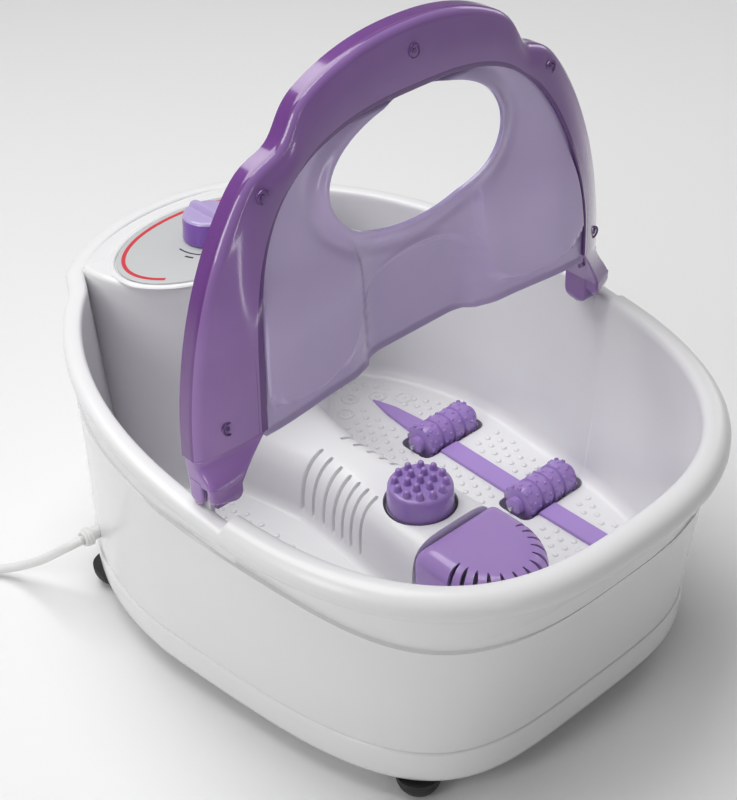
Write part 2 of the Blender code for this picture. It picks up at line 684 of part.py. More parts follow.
def build_strip(name, x, purple):
    """A ribbon along the floor that dips under each roller and ends in a point at the rear."""
    lower = FLOOR_Z + GAP
    upper = lower + 0.0021
    dip = WELL_FLOOR_Z + GAP
    wall = 0.0012
    inner_half = WELL_WIDTH / 2 - GAP
    top = [(0.097, upper), (0.075, upper)]
    bottom = [(0.097, lower), (0.075, lower)]
    for y in ROLLER_YS.values():
        top += [(y + inner_half - wall, upper), (y + inner_half - wall, dip + wall),
                (y - inner_half + wall, dip + wall), (y - inner_half + wall, upper)]
        bottom += [(y + inner_half, lower), (y + inner_half, dip)]
        bottom += [(y - inner_half, dip), (y - inner_half, lower)]
    top.append((-0.108, upper))
    bottom.append((-0.108, lower))
    outline = top + bottom[::-1]
    rings = []
    for side in (-1, 1):
        ring = []
        for y, z in outline:
            half = 0.0008 if y > 0.09 else STRIP_HALF_WIDTH
            half = STRIP_HALF_WIDTH * 0.62 if 0.07 < y < 0.09 else half
            ring.append((x + side * half, y, z))
        rings.append(ring)
    loft(name, rings, purple)


def build_head(purple, steel):
    """The round massage head, which pushes onto a post on the island."""
    seat = SEAT_Z + GAP
    at = (0.0, HEAD_Y, seat)
    top = seat + 0.0165
    profile = [(0.0, top + 0.0022), (0.010, top + 0.0016), (0.0165, top), (0.0188, top - 0.0016),
               (0.0198, top - 0.0050), (HEAD_RADIUS, seat + 0.0030), (HEAD_RADIUS, seat),
               (0.0046, seat), (0.0046, seat + 0.012), (0.0, seat + 0.012)]
    head = turned("massage_head", profile, (0.0, HEAD_Y, 0.0), purple, at=at)
    nubs = bmesh.new()
    for radius, count, height in ((0.0, 1, 0.0062), (0.0080, 6, 0.0056), (0.0155, 12, 0.0046)):
        for k in range(count):
            angle = 2 * math.pi * (k + 0.5) / count
            x = radius * math.cos(angle)
            y = HEAD_Y + radius * math.sin(angle)
            tip = top + height
            nub = [(0.0, top - 0.004), (0.0021, top - 0.004), (0.0021, tip - 0.0014), (0.0, tip)]
            add_turned(nubs, nub, (x, y, 0.0), segments=6)
    nubs = finish_object("guide_nubs", nubs, None, hidden=True)
    boolean(head, nubs, "UNION")
    shoulder = ISLAND_TOP_Z - 0.0072
    post = [(0.0, shoulder - 0.0030), (0.0075, shoulder - 0.0030), (0.0075, shoulder), (0.0042, shoulder),
            (0.0042, seat + 0.0112), (0.0, seat + 0.0118)]
    turned("head_post", post, (0.0, HEAD_Y, 0.0), steel, segments=20)


def build_cover(purple):
    """The bubble cover: a D-shaped cap over the island's front end."""
    height = COVER_TOP_Z - COVER_FOOT_Z
    outer = [(0.0, height), (0.0, 0.0120), (-0.0008, 0.0065), (-0.0030, 0.0026), (-0.0060, 0.0006),
             (-0.0095, 0.0)]
    inner = [(-0.0020, height), (-0.0020, 0.0120), (-0.0028, 0.0080), (-0.0048, 0.0044), (-0.0078, 0.0026),
             (-0.0105, 0.0020)]
    rings = [cover_outline(grow, COVER_TOP_Z - drop) for grow, drop in outer[::-1] + inner]
    cover = loft("bubble_cover", rings, purple, at=(0.0, COVER_BACK_Y - 0.03, COVER_FOOT_Z))
    slots = bmesh.new()
    middle_y = COVER_BACK_Y - 0.026
    for k in range(13):
        angle = math.pi * (k + 0.5) / 13
        direction = Vector((math.cos(angle), -math.sin(angle), 0.0))
        turn = direction.to_track_quat("X", "Z").to_matrix().to_4x4()
        reach = Matrix.Translation((0.0345, 0.0, COVER_TOP_Z - 0.0080))
        size = Matrix.Diagonal((0.0200, 0.0024, 0.0170, 1.0))
        matrix = Matrix.Translation((0.0, middle_y, 0.0)) @ turn @ reach @ size
        bmesh.ops.create_cube(slots, size=1.0, matrix=matrix)
    slots = finish_object("guide_slots", slots, None, hidden=True)
    boolean(cover, slots, "DIFFERENCE")


# ------------------------------------------------------------------ splash guard
def bulge(x, z):
    """How far the guard's face stands forward: two toe domes beside a flat middle."""
    across = 0.0090 * smooth_step(abs(x), 0.026, 0.058) + 0.0060 * smooth_step(abs(x), 0.050, 0.122)
    up = 1 - smooth_step(z, 0.235, 0.352)
    return across * up


def guard_face_y(x, z):
    """Front face of the splash panel."""
    return GUARD_FACE_Y - bulge(x, z)


def guard_outer(angle):
    """The arch's outer edge seen from the front. The angle runs from +Z towards +X, in degrees."""
    a = math.radians(max(min(angle, 90.0), -90.0))
    x = GUARD_HALF_WIDTH * signed_power(math.sin(a), 2 / GUARD_POWER)
    z = GUARD_MIDDLE_Z + (GUARD_TOP_Z - GUARD_MIDDLE_Z) * math.cos(a) ** (2 / GUARD_POWER)
    notch = 1 - 0.043 * math.exp(-((abs(x) - 0.092) / 0.012) ** 2) if z > 0.3 else 1.0
    x *= notch
    z = GUARD_MIDDLE_Z + (z - GUARD_MIDDLE_Z) * notch
    if abs(angle) > 90.0:
        z -= (abs(angle) - 90.0) * 0.0001
    return Vector((x, z))


def guard_inner(angle):
    """The arch's inner edge seen from the front."""
    a = math.radians(max(min(angle, 90.0), -90.0))
    x = GUARD_INNER_HALF_WIDTH * signed_power(math.sin(a), 2 / GUARD_INNER_POWER)
    z = GUARD_INNER_MIDDLE_Z + (GUARD_INNER_TOP_Z - GUARD_INNER_MIDDLE_Z) * math.cos(a) ** (2 / GUARD_INNER_POWER)
    if abs(angle) > 90.0:
        z -= (abs(angle) - 90.0) * 0.0009
        x += math.copysign((abs(angle) - 90.0) * 0.0015, x)
    return Vector((x, z))


def band_sections(make_section):
    """Closed sections of the arch band from the left leg over the top to the right leg."""
    rings = []
    steps = 30
    for k in range(steps + 1):
        angle = -100.0 + 200.0 * k / steps
        outer = guard_outer(angle)
        inner = guard_inner(angle)
        width = (inner - outer).length
        across = (inner - outer) / width
        front_in = guard_face_y(inner.x, inner.y) - WALL - CLAMP_PLAY
        ring = []
        for distance, y in make_section(width, GUARD_FRONT_Y, front_in):
            point = outer + across * distance
            ring.append((point.x, y, point.y))
        rings.append(ring)
    return rings


def front_section(width, front_out, front_in):
    """The front shell: outer side wall, rounded edge and face."""
    slope = (front_in - front_out) / width
    return [(0.0, GUARD_REAR_Y), (0.0, front_out + 0.0040), (0.0011, front_out + 0.0011),
            (0.0040, front_out + 0.0040 * slope),
            (width * 0.5, front_out + width * 0.5 * slope - 0.0006), (width - 0.0055, front_in),
            (width, front_in),
            (width, front_in + WALL), (width - 0.0055, front_in + WALL),
            (width * 0.5, front_out + width * 0.5 * slope - 0.0006 + WALL),
            (0.0040, front_out + 0.0040 * slope + WALL), (WALL, front_out + 0.0046), (WALL, GUARD_REAR_Y)]


def rear_section(width, front_out, front_in):
    """The rear shell: a flat back that rises to clamp the panel's edge."""
    start = WALL + GAP
    clamp = front_in + WALL + PANEL_THICKNESS + 2 * CLAMP_PLAY
    return [(start, GUARD_REAR_Y - WALL), (start, GUARD_REAR_Y), (width - 0.0125, GUARD_REAR_Y),
            (width - 0.0035, clamp + WALL), (width, clamp + 0.0014), (width, clamp),
            (width - 0.0055, clamp), (width - 0.0150, GUARD_REAR_Y - WALL)]


def build_guard(purple, lavender, steel, axis_empty):
    """The folding guard: a clear panel clamped between two arch shells, on two hinge pins."""
    origin = (0.0, HINGE_Y, HINGE_Z)
    placing = {"parent": axis_empty, "at": origin}
    front = loft("handle_front_shell", band_sections(front_section), purple, **placing)
    rear = loft("handle_rear_shell", band_sections(rear_section), purple, **placing)

    blocks = bmesh.new()
    feet = bmesh.new()
    block = [(HINGE_Y - 0.0105, LEG_Z), (HINGE_Y - 0.0125, 0.2013), (GUARD_REAR_Y + 0.0004, 0.2013),
             (HINGE_Y + 0.0090, LEG_Z + 0.0060), (HINGE_Y + 0.0070, LEG_Z)]
    tab = [(HINGE_Y - 0.0108, LEG_Z + 0.0020), (HINGE_Y - 0.0108, HINGE_Z - 0.0080),
           (HINGE_Y - 0.0080, HINGE_Z - 0.0112), (HINGE_Y + 0.0050, HINGE_Z - 0.0112),
           (HINGE_Y + 0.0072, HINGE_Z - 0.0080), (HINGE_Y + 0.0066, LEG_Z + 0.0020)]
    lip = [(HINGE_Y - 0.0020, LEG_Z + 0.0020), (HINGE_Y - 0.0050, HINGE_Z), (HINGE_Y - 0.0040, HINGE_Z - 0.0050),
           (HINGE_Y, HINGE_Z - 0.0059), (HINGE_Y + 0.0040, HINGE_Z - 0.0040), (HINGE_Y + 0.0060, HINGE_Z),
           (HINGE_Y + 0.0066, LEG_Z + 0.0020)]
    outer_block = [(GUARD_FRONT_Y + 0.0005, LEG_Z), (GUARD_FRONT_Y, 0.2013)] + block[2:]
    for side in (-1, 1):
        add_loft(blocks, [[(side * (LEG_X[0] - 0.0006), y, z) for y, z in block],
                          [(side * LEG_X[2], y, z) for y, z in outer_block],
                          [(side * (LEG_X[3] + 0.0004), y, z) for y, z in outer_block]])
        add_loft(feet, [[(side * x, y, z) for y, z in tab] for x in LEG_X[:2]])
        add_loft(feet, [[(side * x, y, z) for y, z in lip] for x in LEG_X[2:]])
    blocks = finish_object("guide_guard_blocks", blocks, None, hidden=True)
    boolean(front, blocks, "UNION")
    feet = finish_object("guide_guard_feet", feet, None, hidden=True)
    boolean(front, feet, "UNION")
    relief = bmesh.new()
    for side in (-1, 1):
        low_x, high_x = sorted((side * 0.1200, side * 0.1800))
        add_box(relief, (low_x, GUARD_REAR_Y - 0.04, 0.18), (high_x, GUARD_REAR_Y + 0.01, HINGE_Z + 0.0245))
    relief = finish_object("guide_rear_relief", relief, None, hidden=True)
    boolean(rear, relief, "DIFFERENCE")
    bores = bmesh.new()
    for side in (-1, 1):
        reach = (side * (LEG_X[0] + 0.0020), side * (LEG_X[3] + 0.010))
        bore = [(0.0, min(reach)), (0.0022, min(reach)), (0.0022, max(reach)), (0.0, max(reach))]
        add_turned(bores, bore, (0.0, HINGE_Y, HINGE_Z), axis="X", segments=16)
    bores = finish_object("guide_pin_bores", bores, None, hidden=True)
    boolean(front, bores, "DIFFERENCE")

    for side, name in ((-1, "left"), (1, "right")):
        reach = (side * (LEG_X[0] + 0.0024), side * (LEG_X[3] - 0.0002))
        pin = [(0.0, min(reach)), (0.0019, min(reach)), (0.0019, max(reach)), (0.0, max(reach))]
        turned("hinge_pin_" + name, pin, (0.0, HINGE_Y, HINGE_Z), steel, axis="X", segments=20, **placing)

    build_panel(lavender, placing)
    build_guard_screws(front, rear, steel, placing)


def inner_edge_height(x, grow=0.0):
    """Height of the arch's inner edge at a distance from the middle, moved out by `grow`."""
    reach = min(abs(x) / (GUARD_INNER_HALF_WIDTH + grow), 1.0)
    rise = (1 - reach ** GUARD_INNER_POWER) ** (1 / GUARD_INNER_POWER)
    return GUARD_INNER_MIDDLE_Z + (GUARD_INNER_TOP_Z + grow - GUARD_INNER_MIDDLE_Z) * rise


def panel_top(x):
    """Upper edge of the panel: the grip hole's lower edge, then just under the arch's inner edge."""
    if abs(x) < GRIP_HALF_WIDTH:
        return GRIP_Z - GRIP_HALF_HEIGHT * math.sqrt(1 - (x / GRIP_HALF_WIDTH) ** 2)
    return inner_edge_height(x, PANEL_TUCK)


def panel_face_y(x, z):
    """The panel's face, which runs level where it is tucked between the shells."""
    across = abs(x) / GUARD_INNER_HALF_WIDTH
    up = max(z - GUARD_INNER_MIDDLE_Z, 0.0) / (GUARD_INNER_TOP_Z - GUARD_INNER_MIDDLE_Z)
    outside = (across ** GUARD_INNER_POWER + up ** GUARD_INNER_POWER) ** (1 / GUARD_INNER_POWER)
    scale = 1 / max(outside, 1.0)
    return guard_face_y(x * scale, GUARD_INNER_MIDDLE_Z + (z - GUARD_INNER_MIDDLE_Z) * scale)


def build_panel(lavender, placing):
    """The splash panel: a thin bulged sheet with a closed edge."""
    widest = GUARD_INNER_HALF_WIDTH + PANEL_TUCK - 0.0004
    half = 13
    columns = [widest * math.sin(math.pi / 2 * k / half) for k in range(1, half + 1)]
    columns += [GRIP_HALF_WIDTH - 0.0006, GRIP_HALF_WIDTH + 0.0006]
    columns = sorted([-x for x in columns] + [0.0] + columns)
    rows = 8
    front = []
    back = []
    for x in columns:
        top = panel_top(x)
        line = []
        for j in range(rows + 1):
            z = PANEL_BOTTOM_Z + (top - PANEL_BOTTOM_Z) * j / rows
            line.append((x, panel_face_y(x, z), z))
        front.append(line)
        back.append([(px, py + PANEL_THICKNESS, pz) for px, py, pz in line])
    builder = bmesh.new()
    front_rows = [[builder.verts.new(p) for p in line] for line in front]
    back_rows = [[builder.verts.new(p) for p in line] for line in back]
    last = len(columns) - 1
    for i in range(last):
        for j in range(rows):
            builder.faces.new((front_rows[i][j], front_rows[i + 1][j],
                               front_rows[i + 1][j + 1], front_rows[i][j + 1]))
            builder.faces.new((back_rows[i][j], back_rows[i][j + 1],
                               back_rows[i + 1][j + 1], back_rows[i + 1][j]))
        for j in (0, rows):
            builder.faces.new((front_rows[i][j], back_rows[i][j], back_rows[i + 1][j], front_rows[i + 1][j]))
    for i in (0, last):
        for j in range(rows):
            builder.faces.new((front_rows[i][j], front_rows[i][j + 1], back_rows[i][j + 1], back_rows[i][j]))
    finish_object("splash_panel", builder, lavender, **placing)


def build_guard_screws(front, rear, steel, placing):
    """Five screws from the rear shell into posts on the front shell."""
    posts = bmesh.new()
    holes = bmesh.new()
    pockets = bmesh.new()
    for name, angle in GUARD_SCREW_SPOTS.items():
        outer = guard_outer(angle)
        inner = guard_inner(angle)
        share = 0.62 if name.startswith("lower") else 0.42
        spot = outer.lerp(inner, share)
        centre = (spot.x, 0.0, spot.y)
        front_in = guard_face_y(inner.x, inner.y) - WALL - CLAMP_PLAY
        face = GUARD_FRONT_Y + (front_in - GUARD_FRONT_Y) * share - 0.0006
        end = GUARD_REAR_Y - WALL - GAP
        post = [(0.0, face + 0.0010), (0.0036, face + 0.0010), (0.0036, end), (0.0, end)]
        add_turned(posts, post, centre, axis="Y", segments=16)
        hole = [(0.0, face + 0.0035), (0.0017, face + 0.0035), (0.0017, 0.0), (0.0, 0.0)]
        add_turned(holes, hole, centre, axis="Y", segments=12)
        tail = face + 0.0040
        head = GUARD_REAR_Y + GAP
        back = GUARD_REAR_Y - WALL
        pocket = [(0.0, face - 0.02), (0.0040, face - 0.02), (0.0040, back), (0.0, back)]
        add_turned(pockets, pocket, centre, axis="Y", segments=16)
        screw = [(0.0, tail), (0.0014, tail + 0.0006), (0.0014, head), (0.0030, head), (0.0028, head + 0.0011),
                 (0.0, head + 0.0015)]
        turned("guard_screw_" + name, screw, centre, steel, axis="Y", segments=10, **placing)
    posts = finish_object("guide_screw_posts", posts, None, hidden=True)
    holes = finish_object("guide_screw_holes", holes, None, hidden=True)
    boolean(front, posts, "UNION")
    boolean(front, holes, "DIFFERENCE")
    pockets = finish_object("guide_post_pockets", pockets, None, hidden=True)
    boolean(rear, pockets, "DIFFERENCE")
    boolean(rear, holes, "DIFFERENCE")


# ------------------------------------------------------------------ working parts under the basin
def build_machinery(steel, brass, aluminium, plastic, hose):
    """The vibration motor with its weight, the heaters, and the air pump with its hose."""
    motor_y = 0.012
    motor_z = 0.0600
    can = [(0.0, -0.020), (0.0030, -0.020), (0.0130, -0.0200), (0.0138, -0.0190), (0.0138, 0.0190),
           (0.0130, 0.0200), (0.0, 0.0200)]
    motor = turned("vibration_motor", can, (0.0, motor_y, motor_z), steel, axis="Y")
    bore = turned("guide_motor_bore", [(0.0, 0.006), (0.0014, 0.006), (0.0014, 0.030), (0.0, 0.030)],
                  (0.0, motor_y, motor_z), None, axis="Y", segments=16, hidden=True)
    boolean(motor, bore, "DIFFERENCE")
    clamp = []
    for y in (motor_y - 0.008, motor_y + 0.008):
        ring = [(-0.0220, y, 0.0400), (-0.0220, y, 0.0425), (-0.0165, y, 0.0425)]
        angles = [math.pi * k / 16 for k in range(17)]
        ring += [(-0.0165 * math.cos(a), y, motor_z + 0.0165 * math.sin(a)) for a in angles]
        ring += [(0.0165, y, 0.0425), (0.0220, y, 0.0425), (0.0220, y, 0.0400), (0.0142, y, 0.0400)]
        ring += [(0.0142 * math.cos(a), y, motor_z + 0.0142 * math.sin(a)) for a in angles]
        ring += [(-0.0142, y, 0.0400)]
        clamp.append(ring)
    loft("motor_clamp", clamp, steel)
    mount = ((-0.0240, motor_y - 0.014, BASE_Z + SHELL + GAP), (0.0240, motor_y + 0.014, 0.0397))
    boxes("motor_mount", [mount], plastic, bevel=0.0006)

    spin = (0.0, motor_y + 0.0265, motor_z)
    shaft = [(0.0, motor_y + 0.0065), (0.0011, motor_y + 0.0065), (0.0011, motor_y + 0.0330),
             (0.0, motor_y + 0.0330)]
    turned("motor_shaft", shaft, (0.0, 0.0, motor_z), steel, axis="Y", segments=14, at=spin)
    rings = []
    for y in (motor_y + 0.0220, motor_y + 0.0310):
        angles = [math.pi * k / 14 for k in range(15)]
        ring = [(0.0105 * math.cos(a), y, motor_z - 0.0105 * math.sin(a)) for a in angles]
        ring += [(-0.0040, y, motor_z + 0.0036), (0.0040, y, motor_z + 0.0036)]
        rings.append(ring)
    weight = loft("eccentric_weight", rings, brass, at=spin)
    hole = turned("guide_weight_bore", [(0.0, 0.0), (0.0014, 0.0), (0.0014, 0.06), (0.0, 0.06)],
                  (0.0, 0.0, motor_z), None, axis="Y", segments=14, hidden=True)
    boolean(weight, hole, "DIFFERENCE")

    for side, name in ((-1, "left"), (1, "right")):
        low_x, high_x = sorted((side * 0.066, side * 0.124))
        boxes("heater_plate_" + name, [((low_x, -0.030, 0.0402), (high_x, 0.014, 0.0417))], aluminium)
        low_x, high_x = sorted((side * 0.084, side * 0.106))
        block = ((low_x, -0.014, 0.0335), (high_x, -0.002, 0.0399))
        boxes("thermal_cutout_" + name, [block], plastic, bevel=0.0006)

    boxes("air_pump", [((-0.030, 0.118, BASE_Z + SHELL + GAP), (0.030, 0.162, 0.052))], plastic, bevel=0.0012)
    path = smooth_path([(0.0, 0.1150, 0.0300), (0.0, 0.1000, 0.0290), (0.0330, 0.0500, 0.0260), (0.0330, -0.0400, 0.0260),
                        (0.0, -0.0880, 0.0290), (0.0, COVER_BACK_Y - 0.026, 0.0380), (0.0, COVER_BACK_Y - 0.026, 0.0640)])
    loft("air_hose", tube_rings(path, 0.0029), hose)


# ------------------------------------------------------------------ the whole object
def build():
    for obj in list(bpy.data.objects):
        bpy.data.objects.remove(obj, do_unlink=True)
    white = material("white_plastic", (0.86, 0.86, 0.87), 0.18)
    purple = material("purple_plastic", (0.30, 0.17, 0.46), 0.25)
    clear_purple = material("clear_purple_plastic", (0.32, 0.17, 0.45), 0.15, transmission=0.5)
    lavender = material("clear_lavender_plastic", (0.55, 0.46, 0.72), 0.15, transmission=0.6)
    grey = material("grey_label", (0.62, 0.63, 0.63), 0.40)
    rubber = material("black_rubber", (0.012, 0.012, 0.012), 0.60)
    steel = material("steel", (0.60, 0.60, 0.62), 0.30, metallic=1.0)
    brass = material("brass", (0.70, 0.52, 0.25), 0.30, metallic=1.0)
    aluminium = material("aluminium", (0.75, 0.75, 0.76), 0.35, metallic=1.0)
    plastic = material("black_plastic", (0.05, 0.05, 0.055), 0.45)
    green = material("circuit_board", (0.05, 0.22, 0.10), 0.40)
    hose = material("hose_rubber", (0.55, 0.56, 0.55), 0.50)

    build_tub(white)
    build_housing(white)
    build_base(white)
    build_feet(rubber)
    build_base_screws(steel)
    build_controls(grey, purple, plastic, green, brass)
    build_cable(white)
    build_rollers(purple, steel)
    build_head(purple, steel)
    build_cover(purple)
    build_guard(clear_purple, lavender, steel, pivot("guard_axis", (0.0, HINGE_Y, HINGE_Z)))
    build_machinery(steel, brass, aluminium, plastic, hose)


build()
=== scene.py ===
"""Looks of the foot spa basin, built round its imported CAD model.

Units are metres and +Z is up. -Y is the heel end in front of the user, +Y is the toe end with
the control knob, and +X is the user's right. Pieces that need more detail than the CAD holds
are built again here in the same place, and the CAD's inner parts keep their shape.
"""
from math import acos, atan2, copysign, cos, exp, hypot, pi, radians, sin, sqrt

import bpy
import bmesh
from mathutils import Matrix, Vector


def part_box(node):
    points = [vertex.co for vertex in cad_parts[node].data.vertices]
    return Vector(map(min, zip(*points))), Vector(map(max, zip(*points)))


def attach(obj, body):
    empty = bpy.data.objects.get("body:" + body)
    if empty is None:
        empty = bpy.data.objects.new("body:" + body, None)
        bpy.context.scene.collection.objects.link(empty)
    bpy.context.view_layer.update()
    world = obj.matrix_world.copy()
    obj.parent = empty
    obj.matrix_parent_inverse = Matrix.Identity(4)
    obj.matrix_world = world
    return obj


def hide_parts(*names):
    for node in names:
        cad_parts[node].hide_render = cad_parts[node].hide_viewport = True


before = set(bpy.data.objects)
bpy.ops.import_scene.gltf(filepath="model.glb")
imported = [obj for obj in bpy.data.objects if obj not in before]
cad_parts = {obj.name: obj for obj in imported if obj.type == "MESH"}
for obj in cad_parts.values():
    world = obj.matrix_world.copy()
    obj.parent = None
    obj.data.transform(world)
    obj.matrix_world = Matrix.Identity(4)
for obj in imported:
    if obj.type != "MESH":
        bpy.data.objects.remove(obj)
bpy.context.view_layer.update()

# ------------------------------------------------------------------ dimensions of the CAD model
RIM_HALF_WIDTH = 0.164
RIM_MIDDLE_Y = -0.010
RIM_FRONT_REACH = 0.203
RIM_REAR_REACH = 0.213
RIM_FRONT_POWER = 2.65
RIM_REAR_POWER = 2.1
REAR_BUMP = 0.010
REAR_BUMP_HALF_WIDTH = 0.096
STEP_Y = -0.060
LEDGE_HEIGHT = 0.1748
LEDGE_RISE = 0.094
ROLL_HEIGHT = 0.1782
ROLL_FALL = 0.058
HINGE_Y = -0.036
HINGE_Z = 0.178
EAR_X = (0.1503, 0.1530)
EAR_RADIUS = 0.0070
EAR_FOOT_Z = 0.160
FLOOR_Z = 0.045
SHELL = 0.0025
CREASE_Z = 0.041
BASE_Z = 0.0145
BASE_HALF_WIDTH = 0.151
BASE_MIDDLE_Y = 0.020
BASE_FRONT_REACH = 0.203
BASE_REAR_REACH = 0.168
BASE_TAPER = 0.6
BASE_REAR_POWER = 2.3
BASE_FRONT_POWER = 4.1
ISLAND_TOP_Z = 0.089
ISLAND_STATIONS = ((0.1200, 0.046), (0.090, 0.038), (0.060, 0.031), (0.036, 0.0265), (0.006, 0.0285),
                   (-0.020, 0.0305), (-0.043, 0.0330), (-0.0695, 0.034))   # (y, half width)
ISLAND_REAR_POWER = 2.6
ISLAND_FRONT_POWER = 4.4
HEAD_Y = -0.043
COVER_BACK_Y = -0.071
COVER_HALF_WIDTH = 0.034
COVER_LENGTH = 0.067
COVER_STRAIGHT = 0.026
ROLLER_X = 0.098
ROLLER_YS = {"rear": 0.037, "front": -0.053}
WELL_LENGTH = 0.0595
WELL_WIDTH = 0.0300
WELL_FLOOR_Z = 0.0318
POD_MIDDLE_Y = 0.148
POD_HALF_WIDTH = 0.080
POD_HALF_DEPTH = 0.051
POD_TOP_Z = 0.1935
PLATE_MIDDLE_Y = 0.147
PLATE_HALF_WIDTH = 0.068
PLATE_HALF_DEPTH = 0.042
KNOB_Y = 0.148
GUARD_TOP_Z = 0.396
GUARD_HALF_WIDTH = 0.1565
GUARD_MIDDLE_Z = 0.190
GUARD_POWER = 2.2
GUARD_REAR_Y = -0.0265
GUARD_FRONT_Y = -0.0390
LEG_X = (0.1390, 0.1500, 0.1533, 0.1563)     # faces of the two lugs that hold a hinge ear
LEG_Z = HINGE_Z + 0.0083
TOE_REAR_Y = -0.0448
TOE_INNER_Y = -0.0555
TOE_OUTER_Y = -0.0500
TOE_LOW_Z = 0.1756
GUARD_INNER_HALF_WIDTH = 0.122
GUARD_INNER_TOP_Z = 0.360
GUARD_INNER_MIDDLE_Z = 0.200
GUARD_INNER_POWER = 2.9
GRIP_HALF_WIDTH = 0.063
GRIP_HALF_HEIGHT = 0.0375
GRIP_Z = 0.3225
GUARD_FACE_Y = -0.0400
PANEL_BOTTOM_Z = 0.211
PANEL_THICKNESS = 0.0022
CLAMP_PLAY = 0.0009
PANEL_TUCK = 0.0035
PANEL_HALF_WIDTH = GUARD_INNER_HALF_WIDTH + PANEL_TUCK - 0.0004
WALL = 0.0020
CABLE_EXIT = (-0.1375, 0.106, 0.0560)
FOOT_SPOTS = {"front_left": (-0.103, -0.147), "front_right": (0.103, -0.147),
              "rear_left": (-0.122, 0.118), "rear_right": (0.122, 0.118)}
GUARD_SCREW_SPOTS = {"top": 0.0, "upper_left": -43.0, "upper_right": 43.0,
                     "lower_left": -89.0, "lower_right": 89.0}


# ------------------------------------------------------------------ small maths
def signed_power(value, power):
    return copysign(abs(value) ** power, value)


def smooth_step(value, low, high):
    t = min(max((value - low) / (high - low), 0.0), 1.0)
    return t * t * (3 - 2 * t)


def mix(a, b, t):
    return a + (b - a) * t


def mm(*pairs):
    """Pairs of measures given in millimetres, as metres."""
    return [(a / 1000, b / 1000) for a, b in pairs]


def above(base, *pairs):
    """Pairs of (radius, height) in millimetres, with the heights counted up from `base`."""
    return [(radius, base + up) for radius, up in mm(*pairs)]


def spread(low, high, count):
    """`count` even values from low to high, both included."""
    return [low + (high - low) * k / (count - 1) for k in range(count)]


def soften(points, cut, steps=4, closed=False):
    """Round every corner of a polyline with a small curve."""
    points = [Vector(p) for p in points]
    count = len(points)
    result = []
    for i, point in enumerate(points):
        if not closed and i in (0, count - 1):
            result.append(point)
            continue
        before = points[i - 1] - point
        after = points[(i + 1) % count] - point
        a = point + before.normalized() * min(cut, before.length * 0.45)
        b = point + after.normalized() * min(cut, after.length * 0.45)
        for k in range(steps + 1):
            t = k / steps
            result.append(a * (1 - t) ** 2 + point * 2 * t * (1 - t) + b * t * t)
    return result


def smooth_path(points, steps=6):
    """A Catmull-Rom curve through a few points."""
    knots = [Vector(p) for p in points]
    knots = [2 * knots[0] - knots[1]] + knots + [2 * knots[-1] - knots[-2]]
    path = []
    for a, b, c, d in zip(knots, knots[1:], knots[2:], knots[3:]):
        for k in range(steps):
            t = k / steps
            path.append(0.5 * (2 * b + (c - a) * t + (2 * a - 5 * b + 4 * c - d) * t * t
                               + (3 * b - a - 3 * c + d) * t ** 3))
    path.append(knots[-2])
    return path


# ------------------------------------------------------------------ mesh building
class Shape:
    """Points and faces of one piece, gathered from rows, turned profiles and boxes."""

    def __init__(self):
        self.verts = []
        self.faces = []
        self.tones = []

    def rows(self, rows, wrap=True, caps=True, close=False, tone=None):
        """Skin equal rows of points. `tone` gives a material number for each strip of faces."""
        start = len(self.verts)
        count = len(rows[0])
        for row in rows:
            self.verts.extend(tuple(p) for p in row)
        for j in range(len(rows) - (0 if close else 1)):
            a = start + j * count
            b = start + ((j + 1) % len(rows)) * count
            for i in range(count if wrap else count - 1):
                k = (i + 1) % count
                self.faces.append((a + i, a + k, b + k, b + i))
                self.tones.append(tone(j, i) if tone else 0)
        if caps and not close:
            last = start + (len(rows) - 1) * count
            self.faces.append(tuple(range(start, start + count)))
            self.faces.append(tuple(range(last, last + count)))
            self.tones += [0, 0]
        return self

    def turned(self, profile, centre, axis="Z", segments=64):
        """Turn a profile of (radius, along) round an axis."""
        rows = []
        for radius, along in profile:
            row = []
            for k in range(segments):
                angle = 2 * pi * k / segments
                side = radius * cos(angle)
                up = radius * sin(angle)
                offset = {"X": (along, side, up), "Y": (up, along, side), "Z": (side, up, along)}[axis]
                row.append([c + o for c, o in zip(centre, offset)])
            rows.append(row)
        return self.rows(rows, caps=False, close=profile[0][0] > 0)


def make_object(name, shape, materials, sharp=38.0):
    """Turn a shape into an object with outward faces and smooth shading."""
    mesh = bpy.data.meshes.new(name)
    mesh.from_pydata(shape.verts, [], shape.faces)
    for mat in materials:
        mesh.materials.append(mat)
    mesh.polygons.foreach_set("material_index", shape.tones)
    builder = bmesh.new()
    builder.from_mesh(mesh)
    bmesh.ops.remove_doubles(builder, verts=builder.verts, dist=1e-6)
    bmesh.ops.dissolve_degenerate(builder, edges=builder.edges, dist=1e-7)
    bmesh.ops.recalc_face_normals(builder, faces=builder.faces)
    builder.to_mesh(mesh)
    builder.free()
    mesh.shade_smooth()
    mesh.set_sharp_from_angle(angle=radians(sharp))
    obj = bpy.data.objects.new(name, mesh)
    bpy.context.scene.collection.objects.link(obj)
    return obj


def piece(name, shape, materials, body, slot, *nodes, sharp=38.0):
    """One visible piece that rides on a body and stands for CAD nodes."""
    obj = make_object(name, shape, materials, sharp)
    return place(obj, body, slot, *nodes)


def place(obj, body, slot, *nodes):
    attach(obj, body)
    if nodes:
        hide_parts(*nodes)
    return obj


